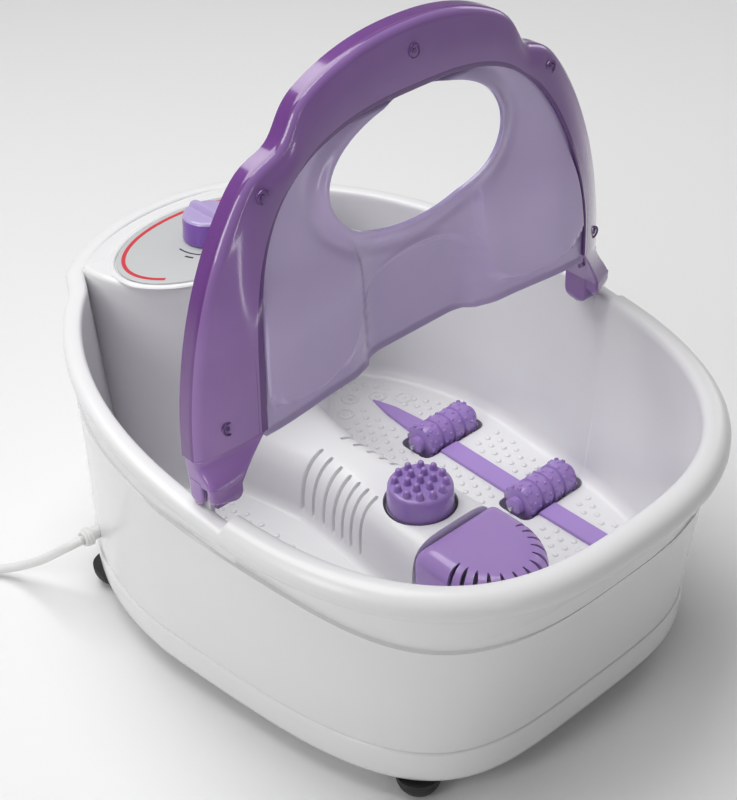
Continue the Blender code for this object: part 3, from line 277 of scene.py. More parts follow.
def combine(obj, shape, operation, sharp=38.0):
    """Join or cut an object with a solid shape, and keep only the result."""
    tool = make_object("tool", shape, [])
    modifier = obj.modifiers.new("combine", "BOOLEAN")
    modifier.operation = operation
    modifier.solver = "EXACT"
    modifier.object = tool
    bpy.context.view_layer.update()
    depsgraph = bpy.context.evaluated_depsgraph_get()
    mesh = bpy.data.meshes.new_from_object(obj.evaluated_get(depsgraph))
    obj.modifiers.clear()
    obj.data = mesh
    bpy.data.objects.remove(tool, do_unlink=True)
    mesh.set_sharp_from_angle(angle=radians(sharp))


def rounded_box(shape, low, high, radius, steps=5):
    """An upright box with rounded vertical edges, from the low corner to the high corner."""
    outline = []
    corners = ((high[0], high[1]), (low[0], high[1]), (low[0], low[1]), (high[0], low[1]))
    for turn, (x, y) in zip((0, 90, 180, 270), corners):
        cx = x - copysign(radius, x - (low[0] + high[0]) / 2)
        cy = y - copysign(radius, y - (low[1] + high[1]) / 2)
        for k in range(steps + 1):
            a = radians(turn + 90 * k / steps)
            outline.append((cx + radius * cos(a), cy + radius * sin(a)))
    shape.rows([[(x, y, z) for x, y in outline] for z in (low[2], high[2])])


def around(count, start=0.0):
    return [start + 2 * pi * k / count for k in range(count)]


def level_ring(x, y, radius, z, count):
    """Points on a level circle."""
    return [(x + radius * cos(a), y + radius * sin(a), z) for a in around(count)]


def dome(shape, centre, radius, height, segments=12, levels=4):
    """A low rounded bump on a level surface."""
    x, y, z = centre
    rows = [level_ring(x, y, radius, z - 0.0004, segments)]
    for k in range(levels + 1):
        t = pi / 2 * k / levels
        rows.append(level_ring(x, y, max(radius * cos(t), 1e-5), z + height * sin(t), segments))
    shape.rows(rows)


def tube(shape, path, radius, segments=20):
    """A round tube along a path, kept from twisting."""
    points = [Vector(p) for p in path]
    side = None
    rows = []
    for i, point in enumerate(points):
        along = (points[min(i + 1, len(points) - 1)] - points[max(i - 1, 0)]).normalized()
        if side is None:
            side = along.orthogonal().normalized()
        side = (side - along * side.dot(along)).normalized()
        up = along.cross(side)
        rows.append([point + radius * (cos(a) * side + sin(a) * up) for a in around(segments)])
    shape.rows(rows)


# ------------------------------------------------------------------ materials
PLASTIC_IOR = 1.48
SKIN_DEPTH = 0.0002          # height of the finest texture
METAL_GRAIN = 400.0
COAT_ROUGHNESS = 0.08
GLOW_DEPTH = 0.004           # how far light spreads inside the plastic
BODY_WHITE = (0.81, 0.81, 0.815)


def add_node(tree, kind, values):
    """A new shader node with the values of its sockets."""
    node = tree.nodes.new("ShaderNode" + kind)
    set_sockets(node, values)
    return node


def set_sockets(node, values):
    for socket, value in values.items():
        node.inputs[socket].default_value = value


def plastic(name, colour, roughness, spread_of=0.05, variation=0.03, grain=900.0, bump=0.05,
            coat=0.0, transmission=0.0, subsurface=0.0, metallic=0.0, scale=9.0):
    """A moulded material: slow colour and gloss changes, and a fine skin texture."""
    mat = bpy.data.materials.new(name)
    mat.use_nodes = True
    tree = mat.node_tree
    link = tree.links.new
    shader = tree.nodes["Principled BSDF"]
    set_sockets(shader, {
        "Metallic": metallic, "IOR": PLASTIC_IOR, "Coat Weight": coat, "Coat Roughness": COAT_ROUGHNESS,
        "Transmission Weight": transmission, "Subsurface Weight": subsurface, "Subsurface Scale": GLOW_DEPTH})
    place_in = tree.nodes.new("ShaderNodeTexCoord").outputs["Object"]
    slow = add_node(tree, "TexNoise", {"Scale": scale, "Detail": 3.0})
    link(place_in, slow.inputs["Vector"])
    tint = tree.nodes.new("ShaderNodeValToRGB")
    for element, position, change in zip(tint.color_ramp.elements, (0.3, 0.7), (-variation, variation)):
        element.position = position
        element.color = (*[min(c * (1 + change), 1.0) for c in colour], 1.0)
    link(slow.outputs["Fac"], tint.inputs["Fac"])
    link(tint.outputs["Color"], shader.inputs["Base Color"])
    patches = add_node(tree, "TexNoise", {"Scale": scale * 7, "Detail": 5.0})
    gloss = add_node(tree, "MapRange", {"From Min": 0.1, "From Max": 0.9, "To Min": roughness - spread_of / 2,
                                        "To Max": roughness + spread_of / 2})
    gloss.interpolation_type = "SMOOTHSTEP"
    link(place_in, patches.inputs["Vector"])
    link(patches.outputs["Fac"], gloss.inputs["Value"])
    link(gloss.outputs["Result"], shader.inputs["Roughness"])
    skin = add_node(tree, "TexNoise", {"Scale": grain, "Detail": 2.0})
    relief = add_node(tree, "Bump", {"Strength": bump, "Distance": SKIN_DEPTH})
    link(place_in, skin.inputs["Vector"])
    link(skin.outputs["Fac"], relief.inputs["Height"])
    link(relief.outputs["Normal"], shader.inputs["Normal"])
    return mat


def brushed(name, colour, roughness, stretch=(1.0, 1.0, 30.0)):
    """A turned or rolled metal with fine lines and uneven gloss."""
    mat = plastic(name, colour, roughness, 0.14, 0.06, metallic=1.0, bump=0.35, scale=40.0)
    tree = mat.node_tree
    turn = add_node(tree, "Mapping", {"Scale": stretch})
    lines = add_node(tree, "TexNoise", {"Scale": METAL_GRAIN, "Detail": 4.0})
    tree.links.new(tree.nodes["Texture Coordinate"].outputs["Object"], turn.inputs["Vector"])
    tree.links.new(turn.outputs["Vector"], lines.inputs["Vector"])
    tree.links.new(lines.outputs["Fac"], tree.nodes["Bump"].inputs["Height"])
    return mat


white = plastic("white_gloss", BODY_WHITE, 0.22, coat=0.2, spread_of=0.02, variation=0.012, bump=0.02)
inner_white = plastic("white_floor", BODY_WHITE, 0.31, coat=0.15, spread_of=0.02, variation=0.012,
                      grain=1400.0, bump=0.025)
cable_white = plastic("white_cable", (0.78, 0.78, 0.77), 0.42, variation=0.03, grain=1600.0, bump=0.15)
purple = plastic("purple_gloss", (0.35, 0.22, 0.56), 0.24, coat=0.3, variation=0.04, subsurface=0.12)
strip_purple = plastic("purple_ribbon", (0.40, 0.26, 0.62), 0.32, variation=0.04)
cover_top = plastic("purple_cover", (0.42, 0.27, 0.62), 0.235, coat=0.25, variation=0.03, subsurface=0.12)
band_face = plastic("clear_purple_face", (0.36, 0.19, 0.52), 0.14, coat=0.6, variation=0.10,
                    transmission=0.22, scale=14.0)
# Darker copy of the clear purple: painted shade on the band's outer side wall, also used for the CAD's other
# clear purple parts.
shaded_clear_purple = plastic("clear_purple_painted_shade", (0.21, 0.065, 0.32), 0.12, coat=0.6, variation=0.10,
                    transmission=0.25, scale=20.0)
# Darkest copy of the clear purple: painted shade on the band's inner edge and on the screw posts and rings
# seen through the face.
dark_shade_purple = plastic("clear_purple_painted_dark_shade", (0.16, 0.06, 0.26), 0.16, coat=0.4, variation=0.08, transmission=0.2)
panel_clear = plastic("clear_lavender", (0.73, 0.60, 0.93), 0.15, coat=0.5, variation=0.05, transmission=0.22,
                      scale=12.0)
# Darker copy of the lavender: painted shade on the panel's cut edges round the grip hole and the arch.
panel_edge_shade = plastic("clear_lavender_painted_shade", (0.50, 0.40, 0.72), 0.18, coat=0.4, variation=0.05,
                     transmission=0.3)
knob_side = plastic("knob_violet", (0.24, 0.09, 0.50), 0.20, coat=0.5, variation=0.05, transmission=0.1)
knob_top = plastic("knob_lilac", (0.58, 0.47, 0.80), 0.20, coat=0.5, variation=0.04, transmission=0.2)
label_grey = plastic("label_grey", (0.53, 0.54, 0.54), 0.38, variation=0.02, grain=2500.0, bump=0.2)
label_red = plastic("label_red", (0.62, 0.04, 0.06), 0.42, variation=0.05, grain=2500.0, bump=0.2)
label_black = plastic("label_black", (0.02, 0.02, 0.02), 0.45, variation=0.2, grain=2500.0, bump=0.2)
rubber = plastic("rubber_black", (0.012, 0.012, 0.012), 0.55, spread_of=0.12, variation=0.3, grain=1800.0,
                 bump=0.5)
steel = brushed("steel_turned", (0.60, 0.60, 0.62), 0.37)
brass = brushed("brass_turned", (0.70, 0.52, 0.25), 0.37)
aluminium = brushed("aluminium_rolled", (0.75, 0.75, 0.76), 0.36, stretch=(30.0, 1.0, 1.0))
black_part = plastic("black_moulding", (0.035, 0.035, 0.038), 0.48, spread_of=0.10, variation=0.2,
                     grain=1200.0, bump=0.4)
board = plastic("board_green", (0.04, 0.20, 0.09), 0.40, variation=0.15, grain=700.0, bump=0.3, scale=60.0)
hose = plastic("hose_grey", (0.52, 0.53, 0.52), 0.50, variation=0.06, grain=1500.0, bump=0.3)

# CAD parts in clear purple take the darker, shaded copy of that plastic, which is painted shade.
NODE_FINISH = {
    "steel": steel, "brass": brass, "aluminium": aluminium, "black_plastic": black_part,
    "circuit_board": board, "hose_rubber": hose, "black_rubber": rubber, "white_plastic": white,
    "purple_plastic": purple, "clear_purple_plastic": shaded_clear_purple, "clear_lavender_plastic": panel_clear,
    "grey_label": label_grey,
}
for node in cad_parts.values():
    for k, mat in enumerate(list(node.data.materials)):
        node.data.materials[k] = NODE_FINISH.get(mat.name.split(".")[0] if mat else "", white)


# ------------------------------------------------------------------ outlines seen from above
def rim_point(angle):
    """The rim's outer edge. The angle runs from +Y towards +X."""
    s = sin(angle)
    c = cos(angle)
    power = RIM_REAR_POWER if c > 0 else RIM_FRONT_POWER
    reach = RIM_REAR_REACH if c > 0 else RIM_FRONT_REACH
    x = RIM_HALF_WIDTH * signed_power(s, 2 / power)
    y = RIM_MIDDLE_Y + reach * signed_power(c, 2 / power)
    if c > 0:
        y += REAR_BUMP * (1 - smooth_step(abs(x), REAR_BUMP_HALF_WIDTH - 0.010, REAR_BUMP_HALF_WIDTH + 0.004))
    return Vector((x, y))


def base_point(angle):
    """The outline of the base pan, squarer than the rim and narrower at the front."""
    s = sin(angle)
    c = cos(angle)
    power = BASE_REAR_POWER if c > 0 else BASE_FRONT_POWER
    reach = BASE_REAR_REACH if c > 0 else BASE_FRONT_REACH
    y = reach * signed_power(c, 2 / power)
    x = BASE_HALF_WIDTH * signed_power(s, 2 / power) * (1 + BASE_TAPER * min(y, 0.0))
    return Vector((x, y + BASE_MIDDLE_Y))


def station_angles():
    """Angles round the rim, packed closely where the raised roll starts."""
    step = acos(-((RIM_MIDDLE_Y - STEP_Y) / RIM_FRONT_REACH) ** (RIM_FRONT_POWER / 2))
    half = 0.010
    right = [step * (k + 0.5) / 64 for k in range(61)]
    right = [a for a in right if a < step - half * 1.4]
    right += spread(step - half, step + half, 9)
    front = [pi - (pi - step) * (k + 0.5) / 64 for k in range(62)]
    right += [a for a in reversed(front) if a > step + half * 1.4]
    return right + [2 * pi - a for a in reversed(right)]


def outward_normals(ring):
    normals = []
    for i in range(len(ring)):
        along = ring[(i + 1) % len(ring)] - ring[i - 1]
        normals.append(Vector((-along.y, along.x)).normalized())
    return normals


ANGLES = station_angles()
RIM = [rim_point(a) for a in ANGLES]
RIM_NORMALS = outward_normals(RIM)
BASE = [base_point(a) for a in ANGLES]
BASE_NORMALS = outward_normals(BASE)
ROLL_SHARE = [1 - smooth_step(p.y, STEP_Y - 0.0012, STEP_Y + 0.0012) for p in RIM]


def rim_top(i):
    """Height of the rim: the level ledge at the rear, or the raised roll at the front."""
    y = RIM[i].y
    return mix(LEDGE_HEIGHT + LEDGE_RISE * y, ROLL_HEIGHT + ROLL_FALL * y, ROLL_SHARE[i])


def rim_row(ledge, roll):
    """A row round the tub from (inset, drop below the top) pairs of the ledge and the roll."""
    row = []
    for i, (point, normal) in enumerate(zip(RIM, RIM_NORMALS)):
        share = ROLL_SHARE[i]
        flat = point - normal * mix(ledge[0], roll[0], share)
        row.append((flat.x, flat.y, rim_top(i) - mix(ledge[1], roll[1], share)))
    return row


def wall_point(i, z, extra=0.0):
    """A point on the basin's inner wall face, moved in by `extra`."""
    rise = min((z - CREASE_Z) / (rim_top(i) - 0.008 - CREASE_Z), 1.0)
    foot = BASE[i] - BASE_NORMALS[i] * 0.0125
    head = RIM[i] - RIM_NORMALS[i] * mix(0.0120, 0.0168, ROLL_SHARE[i])
    flat = foot.lerp(head, rise) - BASE_NORMALS[i].lerp(RIM_NORMALS[i], rise) * extra
    return (flat.x, flat.y, z)


def wall_row(z, extra=0.0):
    return [wall_point(i, z, extra) for i in range(len(RIM))]


def blended_point(i, amount, extra, z):
    """A point between the base's outline (0) and the rim's outline (1), moved in by `extra`."""
    flat = BASE[i].lerp(RIM[i], amount) - BASE_NORMALS[i].lerp(RIM_NORMALS[i], amount) * extra
    return (flat.x, flat.y, z)


# ------------------------------------------------------------------ tub
FILLET = 0.009
LEDGE_PROFILE = mm((12, 8), (12, 5), (11.9, 2.8), (11.4, 1.2), (10.6, 0.4), (9.4, 0), (7.2, 0), (5, 0.1),
                   (3.2, 0.4), (1.8, 1), (0.8, 1.8), (0.2, 3), (0, 4.6), (0, 6.4), (0.2, 7.8), (0.8, 8.6),
                   (2, 8.8))
ROLL_PROFILE = mm((16.8, 8), (16.8, 5.6), (16.5, 3.4), (15.7, 1.7), (14.4, 0.6), (12.7, 0), (10.5, 0),
                  (8.3, 0.3), (6.3, 0.9), (4.5, 1.8), (2.9, 3.1), (1.6, 4.7), (0.6, 6.7), (0.1, 9),
                  (0.1, 11.4), (0.6, 13.2), (1.8, 14.2))


def build_tub():
    rows = []
    for k in range(8):
        t = pi / 2 * k / 7
        rows.append(wall_row(FLOOR_Z + FILLET * (1 - cos(t)), FILLET * (1 - sin(t))))
    for share in (0.12, 0.28, 0.44, 0.60, 0.75, 0.88, 0.96):
        low = FLOOR_Z + FILLET
        rows.append([wall_point(i, mix(low, rim_top(i) - 0.0085, share)) for i in range(len(RIM))])
    rows += [rim_row(ledge, roll) for ledge, roll in zip(LEDGE_PROFILE, ROLL_PROFILE)]
    for ledge, roll in (((0.0024, 0.0034), (0.0036, 0.0140)), ((0.0092, 0.0034), (0.0138, 0.0036)),
                        ((0.0094, 0.0150), (0.0142, 0.0150))):
        rows.append(rim_row(ledge, roll))
    for up, extra in ((0.0050, 0.0008 - SHELL), (-0.0006, 0.0030 - SHELL), (-SHELL, 0.0080)):
        rows.append(wall_row(FLOOR_Z + up, extra))
    tub = make_object("tub_basin", Shape().rows(rows), [inner_white])
    pockets = Shape()
    hollows = Shape()
    for side in (-1, 1):
        for y in ROLLER_YS.values():
            x = side * ROLLER_X
            for shape, grow, low_z, high_z, radius in (
                    (pockets, SHELL, WELL_FLOOR_Z - SHELL, FLOOR_Z - 0.001, 0.0045),
                    (hollows, -0.0014, WELL_FLOOR_Z, FLOOR_Z + 0.012, 0.0060)):
                half_x, half_y = WELL_LENGTH / 2 + grow, WELL_WIDTH / 2 + grow
                rounded_box(shape, (x - half_x, y - half_y, low_z), (x + half_x, y + half_y, high_z), radius)
    combine(tub, pockets, "UNION")
    combine(tub, hollows, "DIFFERENCE")
    place(tub, "base", "white_plastic", "tub")

    ears = Shape()
    for side in (-1, 1):
        outline = [(HINGE_Y - EAR_RADIUS, EAR_FOOT_Z)]
        for a in spread(0.0, pi, 25):
            outline.append((HINGE_Y - EAR_RADIUS * cos(a), HINGE_Z + EAR_RADIUS * sin(a)))
        outline.append((HINGE_Y + EAR_RADIUS, EAR_FOOT_Z))
        ears.rows([[(side * x, y, z) for y, z in outline] for x in EAR_X])
    piece("tub_hinge_ears", ears, [white], "base", "white_plastic", "tub")


# Each groove's place along the island and how far from the crest it starts, in millimetres.
GROOVES = mm((37.6, 8.5), (27, 9.8), (16.3, 11.5), (6.4, 12.8), (-2.6, 13.7), (-11.5, 14.5), (-21, 15.8))
GROOVE_DEPTH = 0.0046
GROOVE_HALF_WIDTH = 0.0010
GROOVE_END_Z = (0.0500, 0.0540)
HUMP_STEPS = 96
ISLAND_SKIRT = above(FLOOR_Z, (7, -0.6), (5.2, 0.1), (3.2, 1), (1.5, 2.6), (0.5, 4.6))


def island_half_width(y):
    for (high, b), (low, a) in zip(ISLAND_STATIONS, ISLAND_STATIONS[1:]):
        if y >= low:
            return mix(a, b, min((y - low) / (high - low), 1.0))
    return ISLAND_STATIONS[-1][1]


def island_power(y):
    return mix(ISLAND_FRONT_POWER, ISLAND_REAR_POWER, smooth_step(y, -0.043, 0.006))


def groove_depth(x, y, z):
    """Depth of the grooves that run down the island's flanks from near its crest."""
    depth = 0.0
    for top_y, top_x in GROOVES:
        across = (y - top_y) / GROOVE_HALF_WIDTH
        start = smooth_step(abs(x), top_x - 0.0004, top_x + 0.0008)
        end = smooth_step(z, *GROOVE_END_Z)
        depth = max(depth, GROOVE_DEPTH * exp(-across ** 4) * start * end)
    return depth


def build_island():
    """The rounded hump between the feet, with grooves down each flank that start from small holes."""
    ys = spread(0.125, 0.042, 18)[:-1] + spread(0.042, -0.026, 171)[:-1] + spread(-0.026, -0.0705, 18)
    rows = []
    for y in ys:
        half_width = island_half_width(y)
        power = island_power(y)
        skirt = [(half_width + out, z) for out, z in ISLAND_SKIRT]
        hump = []
        for k in range(HUMP_STEPS + 1):
            angle = pi * k / HUMP_STEPS
            x = -half_width * signed_power(cos(angle), 2 / power)
            z = FLOOR_Z + 0.006 + (ISLAND_TOP_Z - FLOOR_Z - 0.006) * sin(angle) ** (2 / power)
            hump.append(Vector((x, z)))
        row = []
        for k, point in enumerate(hump):
            along = hump[min(k + 1, HUMP_STEPS)] - hump[max(k - 1, 0)]
            normal = Vector((-along.y, along.x)).normalized()
            moved = point - normal * groove_depth(point.x, y, point.y)
            row.append((moved.x, y, moved.y))
        rows.append([(-x, y, z) for x, z in skirt] + row + [(x, y, z) for x, z in reversed(skirt)])
    obj = make_object("tub_island", Shape().rows(rows), [inner_white], sharp=60.0)
    seat_profile = mm((0.01, 86.2), (22.6, 86.2), (23.2, 90), (23.2, 120), (0.01, 120))
    hole_profile = mm((0.01, 79), (1.1, 79), (1.3, 93), (0.01, 93))
    seat = Shape().turned(seat_profile, (0.0, HEAD_Y, 0.0), segments=96)
    for top_y, top_x in GROOVES:
        for x in (-top_x, top_x):
            seat.turned(hole_profile, (x, top_y, 0.0), segments=20)
    combine(obj, seat, "DIFFERENCE", sharp=60.0)
    place(obj, "base", "white_plastic", "tub")
    stub = Shape()
    end_profile = ((-0.0034, FLOOR_Z - 0.001), (-0.0034, 0.0594), (-0.0040, 0.0600))
    stub.rows([cover_outline(grow, z, 40) for grow, z in end_profile])
    piece("tub_island_end", stub, [inner_white], "base", "white_plastic", "tub")


def pod_row(z, shrink, wall_extra):
    """The control pod's outline at a height: an oval front, and a back that follows the wall."""
    back = [wall_point(i, z, wall_extra) for i in range(len(RIM))
            if abs(RIM[i].x) < POD_HALF_WIDTH + 0.012 and RIM[i].y > 0]
    back.sort(key=lambda p: -p[0])
    half_width = back[0][0] - shrink
    side_y = back[0][1]
    reach = side_y - (POD_MIDDLE_Y - POD_HALF_DEPTH) - shrink + (POD_TOP_Z - z) * 0.06
    row = [(half_width, side_y, z)] + back[1:-1] + [(-half_width, side_y, z)]
    for k in range(1, 100):
        angle = pi * k / 100
        row.append((-half_width * cos(angle), side_y - reach * sin(angle), z))
    return row


def plate_point(angle, grow, z):
    """A point of the label plate's oval, made larger by `grow`."""
    return ((PLATE_HALF_WIDTH + grow) * cos(angle),
            PLATE_MIDDLE_Y + (PLATE_HALF_DEPTH + grow) * sin(angle), z)


def oval_like(row, grow, z):
    """The label plate's oval, with one point for each point of a pod outline."""
    return [plate_point(atan2((y - PLATE_MIDDLE_Y) / PLATE_HALF_DEPTH, x / PLATE_HALF_WIDTH), grow, z)
            for x, y, _ in row]


def build_pod():
    """The control pod with a raised lip round its label plate."""
    into_wall = -0.0012
    rows = [pod_row(z, shrink, into_wall)
            for shrink, z in above(FLOOR_Z, (-6, -0.6), (-3.6, 0.6), (-1.4, 2.4), (-0.3, 5.5))]
    for z in (0.060, 0.080, 0.100, 0.120, 0.140, 0.155, 0.168, 0.178, 0.185):
        rows.append(pod_row(z, 0.0, into_wall))
    edge = 0.0034
    for k in range(1, 7):
        t = pi / 2 * k / 6
        z = POD_TOP_Z - edge + edge * sin(t)
        rows.append(pod_row(z, 0.0005 + edge * (1 - cos(t)), into_wall * cos(t)))
    outline = rows[-1]
    lip = above(POD_TOP_Z, (4.6, 0), (4, 0.5), (3.2, 1.1), (2.2, 1.4), (1.3, 1.2), (0.7, 0.6), (0.5, 0))
    rows += [oval_like(outline, grow, z) for grow, z in lip]
    piece("tub_control_pod", Shape().rows(rows), [white], "base", "white_plastic", "tub")


BUMP_PITCH = 0.0086
BUMP_ROW_PITCH = BUMP_PITCH * 0.87
BUMP_FIRST_Y = -0.160
BUMP_LAST_Y = 0.170
TOE_RINGS = mm((66, 100), (80, 111), (96, 100), (108, 86))


def strip_centre(y):
    """The ribbon's middle line along the floor."""
    return 0.0895 + 0.0008 * sin(y * 20)


def build_bumps():
    """Small massage bumps over the floor, and larger rings at the toe end."""
    bumps = Shape()
    for j in range(int((BUMP_LAST_Y - BUMP_FIRST_Y) / BUMP_ROW_PITCH)):
        y = BUMP_FIRST_Y + j * BUMP_ROW_PITCH
        for i in range(-16, 17):
            x = (i + 0.5 * (j % 2)) * BUMP_PITCH
            if floor_free(x, y, 0.0032):
                dome(bumps, (x, y, FLOOR_Z), 0.0021, 0.0011)
    for side in (-1, 1):
        for x, y in TOE_RINGS:
            ring = []
            for t in spread(0.0, pi, 7):
                r = 0.0052 - 0.0013 * cos(t)
                z = FLOOR_Z - 0.0003 + 0.0015 * sin(t)
                ring.append([(side * (x + r * cos(a)), y + r * sin(a), z) for a in around(28)])
            bumps.rows(ring, caps=False, close=True)
            dome(bumps, (side * x, y, FLOOR_Z), 0.0018, 0.0012)
    piece("tub_floor_bumps", bumps, [inner_white], "base", "white_plastic", "tub")


def floor_free(x, y, margin):
    """Whether a bump of this size fits clear of the wall, island, wells, ribbons and rings."""
    ax = abs(x)
    to_well = min(abs(y - well_y) for well_y in ROLLER_YS.values())
    to_ring = min(hypot(ax - ring_x, y - ring_y) for ring_x, ring_y in TOE_RINGS)
    on_island = ax < 0.047 + margin
    on_pod = y > 0.092 + margin and ax < 0.062
    on_ribbon = abs(ax - strip_centre(y)) < 0.0075 + margin and y < 0.100
    on_well = abs(ax - ROLLER_X) < WELL_LENGTH / 2 + margin and to_well < WELL_WIDTH / 2 + margin
    on_ring = y > 0.080 and ax > 0.058 and to_ring < 0.0066 + margin
    if on_island or on_pod or on_ribbon or on_well or on_ring:
        return False
    near = min(range(len(BASE)), key=lambda i: (BASE[i].x - x) ** 2 + (BASE[i].y - y) ** 2)
    inside = (BASE[near] - BASE_NORMALS[near] * 0.0205) - Vector((x, y))
    return inside.dot(BASE_NORMALS[near]) > margin


# ------------------------------------------------------------------ housing, base pan and feet
STYLE_SLOPE = 7.6            # share of the way to the rim's outline gained per metre of height
HOUSING_INSET = 0.0042
CABLE_HOLE_RADIUS = 0.0046


def style_height(y):
    """Height of the soft crease round the housing: low at the front and fading at the rear."""
    return mix(0.122, 0.142, smooth_step(y, -0.195, -0.060)) + 0.010 * smooth_step(y, -0.04, 0.05)


def housing_point(i, u):
    """A point on the housing's outer face, from the crease at the base (0) to the rim (2)."""
    share = ROLL_SHARE[i]
    top = rim_top(i) - mix(0.0040, 0.0120, share)
    depth = mix(0.0040, 0.0060, share)
    y = RIM[i].y
    style = min(style_height(y), top - 0.012)
    strength = 1 - smooth_step(y, -0.030, 0.030)
    straight = 0.02 + (style - CREASE_Z) * STYLE_SLOPE
    below_style = straight - 0.09 * strength
    above_style = straight - 0.25 * strength
    if u <= 1:
        z = mix(CREASE_Z + 0.0003, style, u)
        amount = mix(0.02, below_style, u)
    else:
        z = mix(style, top, u - 1)
        cove = mix(above_style, 1.0, (u - 1) ** mix(1.0, 0.90, strength))
        amount = mix(below_style, cove, smooth_step(u, 1.0, 1.07))
    extra = HOUSING_INSET * min(amount, 0.6) if u <= 1 else mix(HOUSING_INSET * above_style, depth, u - 1)
    return blended_point(i, min(amount, 1.0), extra, z)


def build_housing():
    levels = spread(0.0, 0.97, 16) + [0.985, 1.0, 1.015, 1.03, 1.045, 1.06, 1.075] + spread(1.10, 2.0, 19)
    outer = [[housing_point(i, u) for i in range(len(RIM))] for u in levels]
    inner = []
    for row in (outer[0], outer[10], outer[-1]):
        inner.append([(x - n.x * SHELL, y - n.y * SHELL, z) for (x, y, z), n in zip(row, RIM_NORMALS)])
    housing = make_object("housing_skirt", Shape().rows(outer + inner[::-1], close=True), [white], sharp=44.0)
    drill = [(1e-5, -0.02), (CABLE_HOLE_RADIUS, -0.02), (CABLE_HOLE_RADIUS, 0.02), (1e-5, 0.02)]
    hole = Shape().turned(drill, CABLE_EXIT, axis="X", segments=32)
    combine(housing, hole, "DIFFERENCE", sharp=44.0)
    place(housing, "base", "white_plastic", "outer_housing")


def build_base():
    """The base pan's wall, from its rounded lower edge to the parting line and back inside."""
    profile = above(BASE_Z, (10, 0), (5.5, 0.2), (3.2, 1.1), (1.4, 2.7), (0.3, 5), (-0.6, 8), (-1.2, 15))
    profile += above(CREASE_Z, (-1.4, -3), (-1.3, -1.1), (-0.8, -0.3), (-0.2, 0), (1.8, 0))
    profile += above(BASE_Z, (1.8, 8), (5, 2.5))
    rows = [[blended_point(i, 0.0, extra, z) for i in range(len(RIM))] for extra, z in profile]
    piece("base_pan_wall", Shape().rows(rows), [white], "base", "white_plastic", "base_pan")


def build_feet():
    """Domed rubber feet with a moulded ring round the middle."""
    profile = mm((0.01, 0), (4.5, 0), (6.6, 0.6), (8.6, 1.8), (10.4, 3.6), (11.8, 5.8), (12.7, 8.4),
                 (13, 9.6), (12.8, 10), (13.1, 10.4), (13.3, 11.6), (13.3, 14.2), (0.01, 14.2))
    for name, (x, y) in FOOT_SPOTS.items():
        pad = Shape().turned(profile, (x, y, 0.0), segments=48)
        piece("foot_pad_" + name, pad, [rubber], "base", "black_rubber", "rubber_foot_" + name)


# ------------------------------------------------------------------ controls and cable
INK_HEIGHT = 0.00012         # the printed marks stand this far above the label plate
INK_SINK = 0.00002
FIN_HEIGHT = 0.0035


def build_controls():
    low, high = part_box("control_label_plate")
    plate = Shape()
    plate.rows([[plate_point(a, grow, z) for a in around(160)] for grow, z in (
        (0.0, low.z), (0.0, high.z - 0.0007), (-0.0004, high.z - 0.0002), (-0.0010, high.z))])
    piece("label_plate", plate, [label_grey], "base", "grey_label", "control_label_plate")

    marks = Shape()
    flat_arc(marks, 0.0632, 0.0374, 0.0026, 52, 214, high.z, 110)
    piece("label_red_arc", marks, [label_red], "base", "grey_label", "control_label_plate")
    ticks = Shape()
    for k in range(4):
        flat_arc(ticks, 0.0285, 0.0262, 0.0014, 198 + 34 * k, 210 + 34 * k, high.z, 8)
    flat_arc(ticks, 0.0240, 0.0222, 0.0011, 176, 272, high.z, 40)
    piece("label_dark_ticks", ticks, [label_black], "base", "grey_label", "control_label_plate")

    low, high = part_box("control_knob")
    top = high.z - FIN_HEIGHT
    knob = Shape()
    profile = above(top, (0.01, -0.3), (12, -0.3), (14.6, -0.1), (15.6, -0.6), (16.3, -1.8), (16.7, -4),
                    (17.1, -10))
    profile += above(low.z, (17.4, 1.5), (17.5, 0.5), (17.2, 0), (15.5, 0), (15, 2), (0.01, 2))
    segments = 96
    knob.turned(profile, (0.0, KNOB_Y, 0.0), segments=segments)
    knob.tones = [int(k < 4 * segments) for k in range(len(knob.faces))]
    piece("knob_cap", knob, [knob_side, knob_top], "knob", "purple_plastic", "control_knob")
    fin = Shape()
    sections = []
    for y in spread(-0.0168, 0.0168, 25):
        reach = sqrt(max(1 - (y / 0.0170) ** 4, 0.02))
        half = 0.0026 * reach ** 0.5
        peak = top + FIN_HEIGHT * reach
        flank = [(half + 0.0012, top - 0.0012), (half, mix(top, peak, 0.55)),
                 (half * 0.55, mix(top, peak, 0.94))]
        section = [(-x, z) for x, z in flank] + [(0.0, peak)] + flank[::-1]
        sections.append([(x, KNOB_Y + y, z) for x, z in section])
    fin.rows(sections)
    piece("knob_grip_fin", fin, [knob_top], "knob", "purple_plastic", "control_knob")


def flat_arc(shape, across, along, width, start, end, z, steps):
    """A thin raised line on the label plate along part of an oval."""
    section = ((-0.5, 0.0), (-0.5, INK_HEIGHT), (0.5, INK_HEIGHT), (0.5, 0.0))
    shape.rows([[((across + width * offset) * cos(a), PLATE_MIDDLE_Y + (along + width * offset) * sin(a),
                  z + lift - INK_SINK) for offset, lift in section]
                for a in (radians(degrees) for degrees in spread(start, end, steps))])


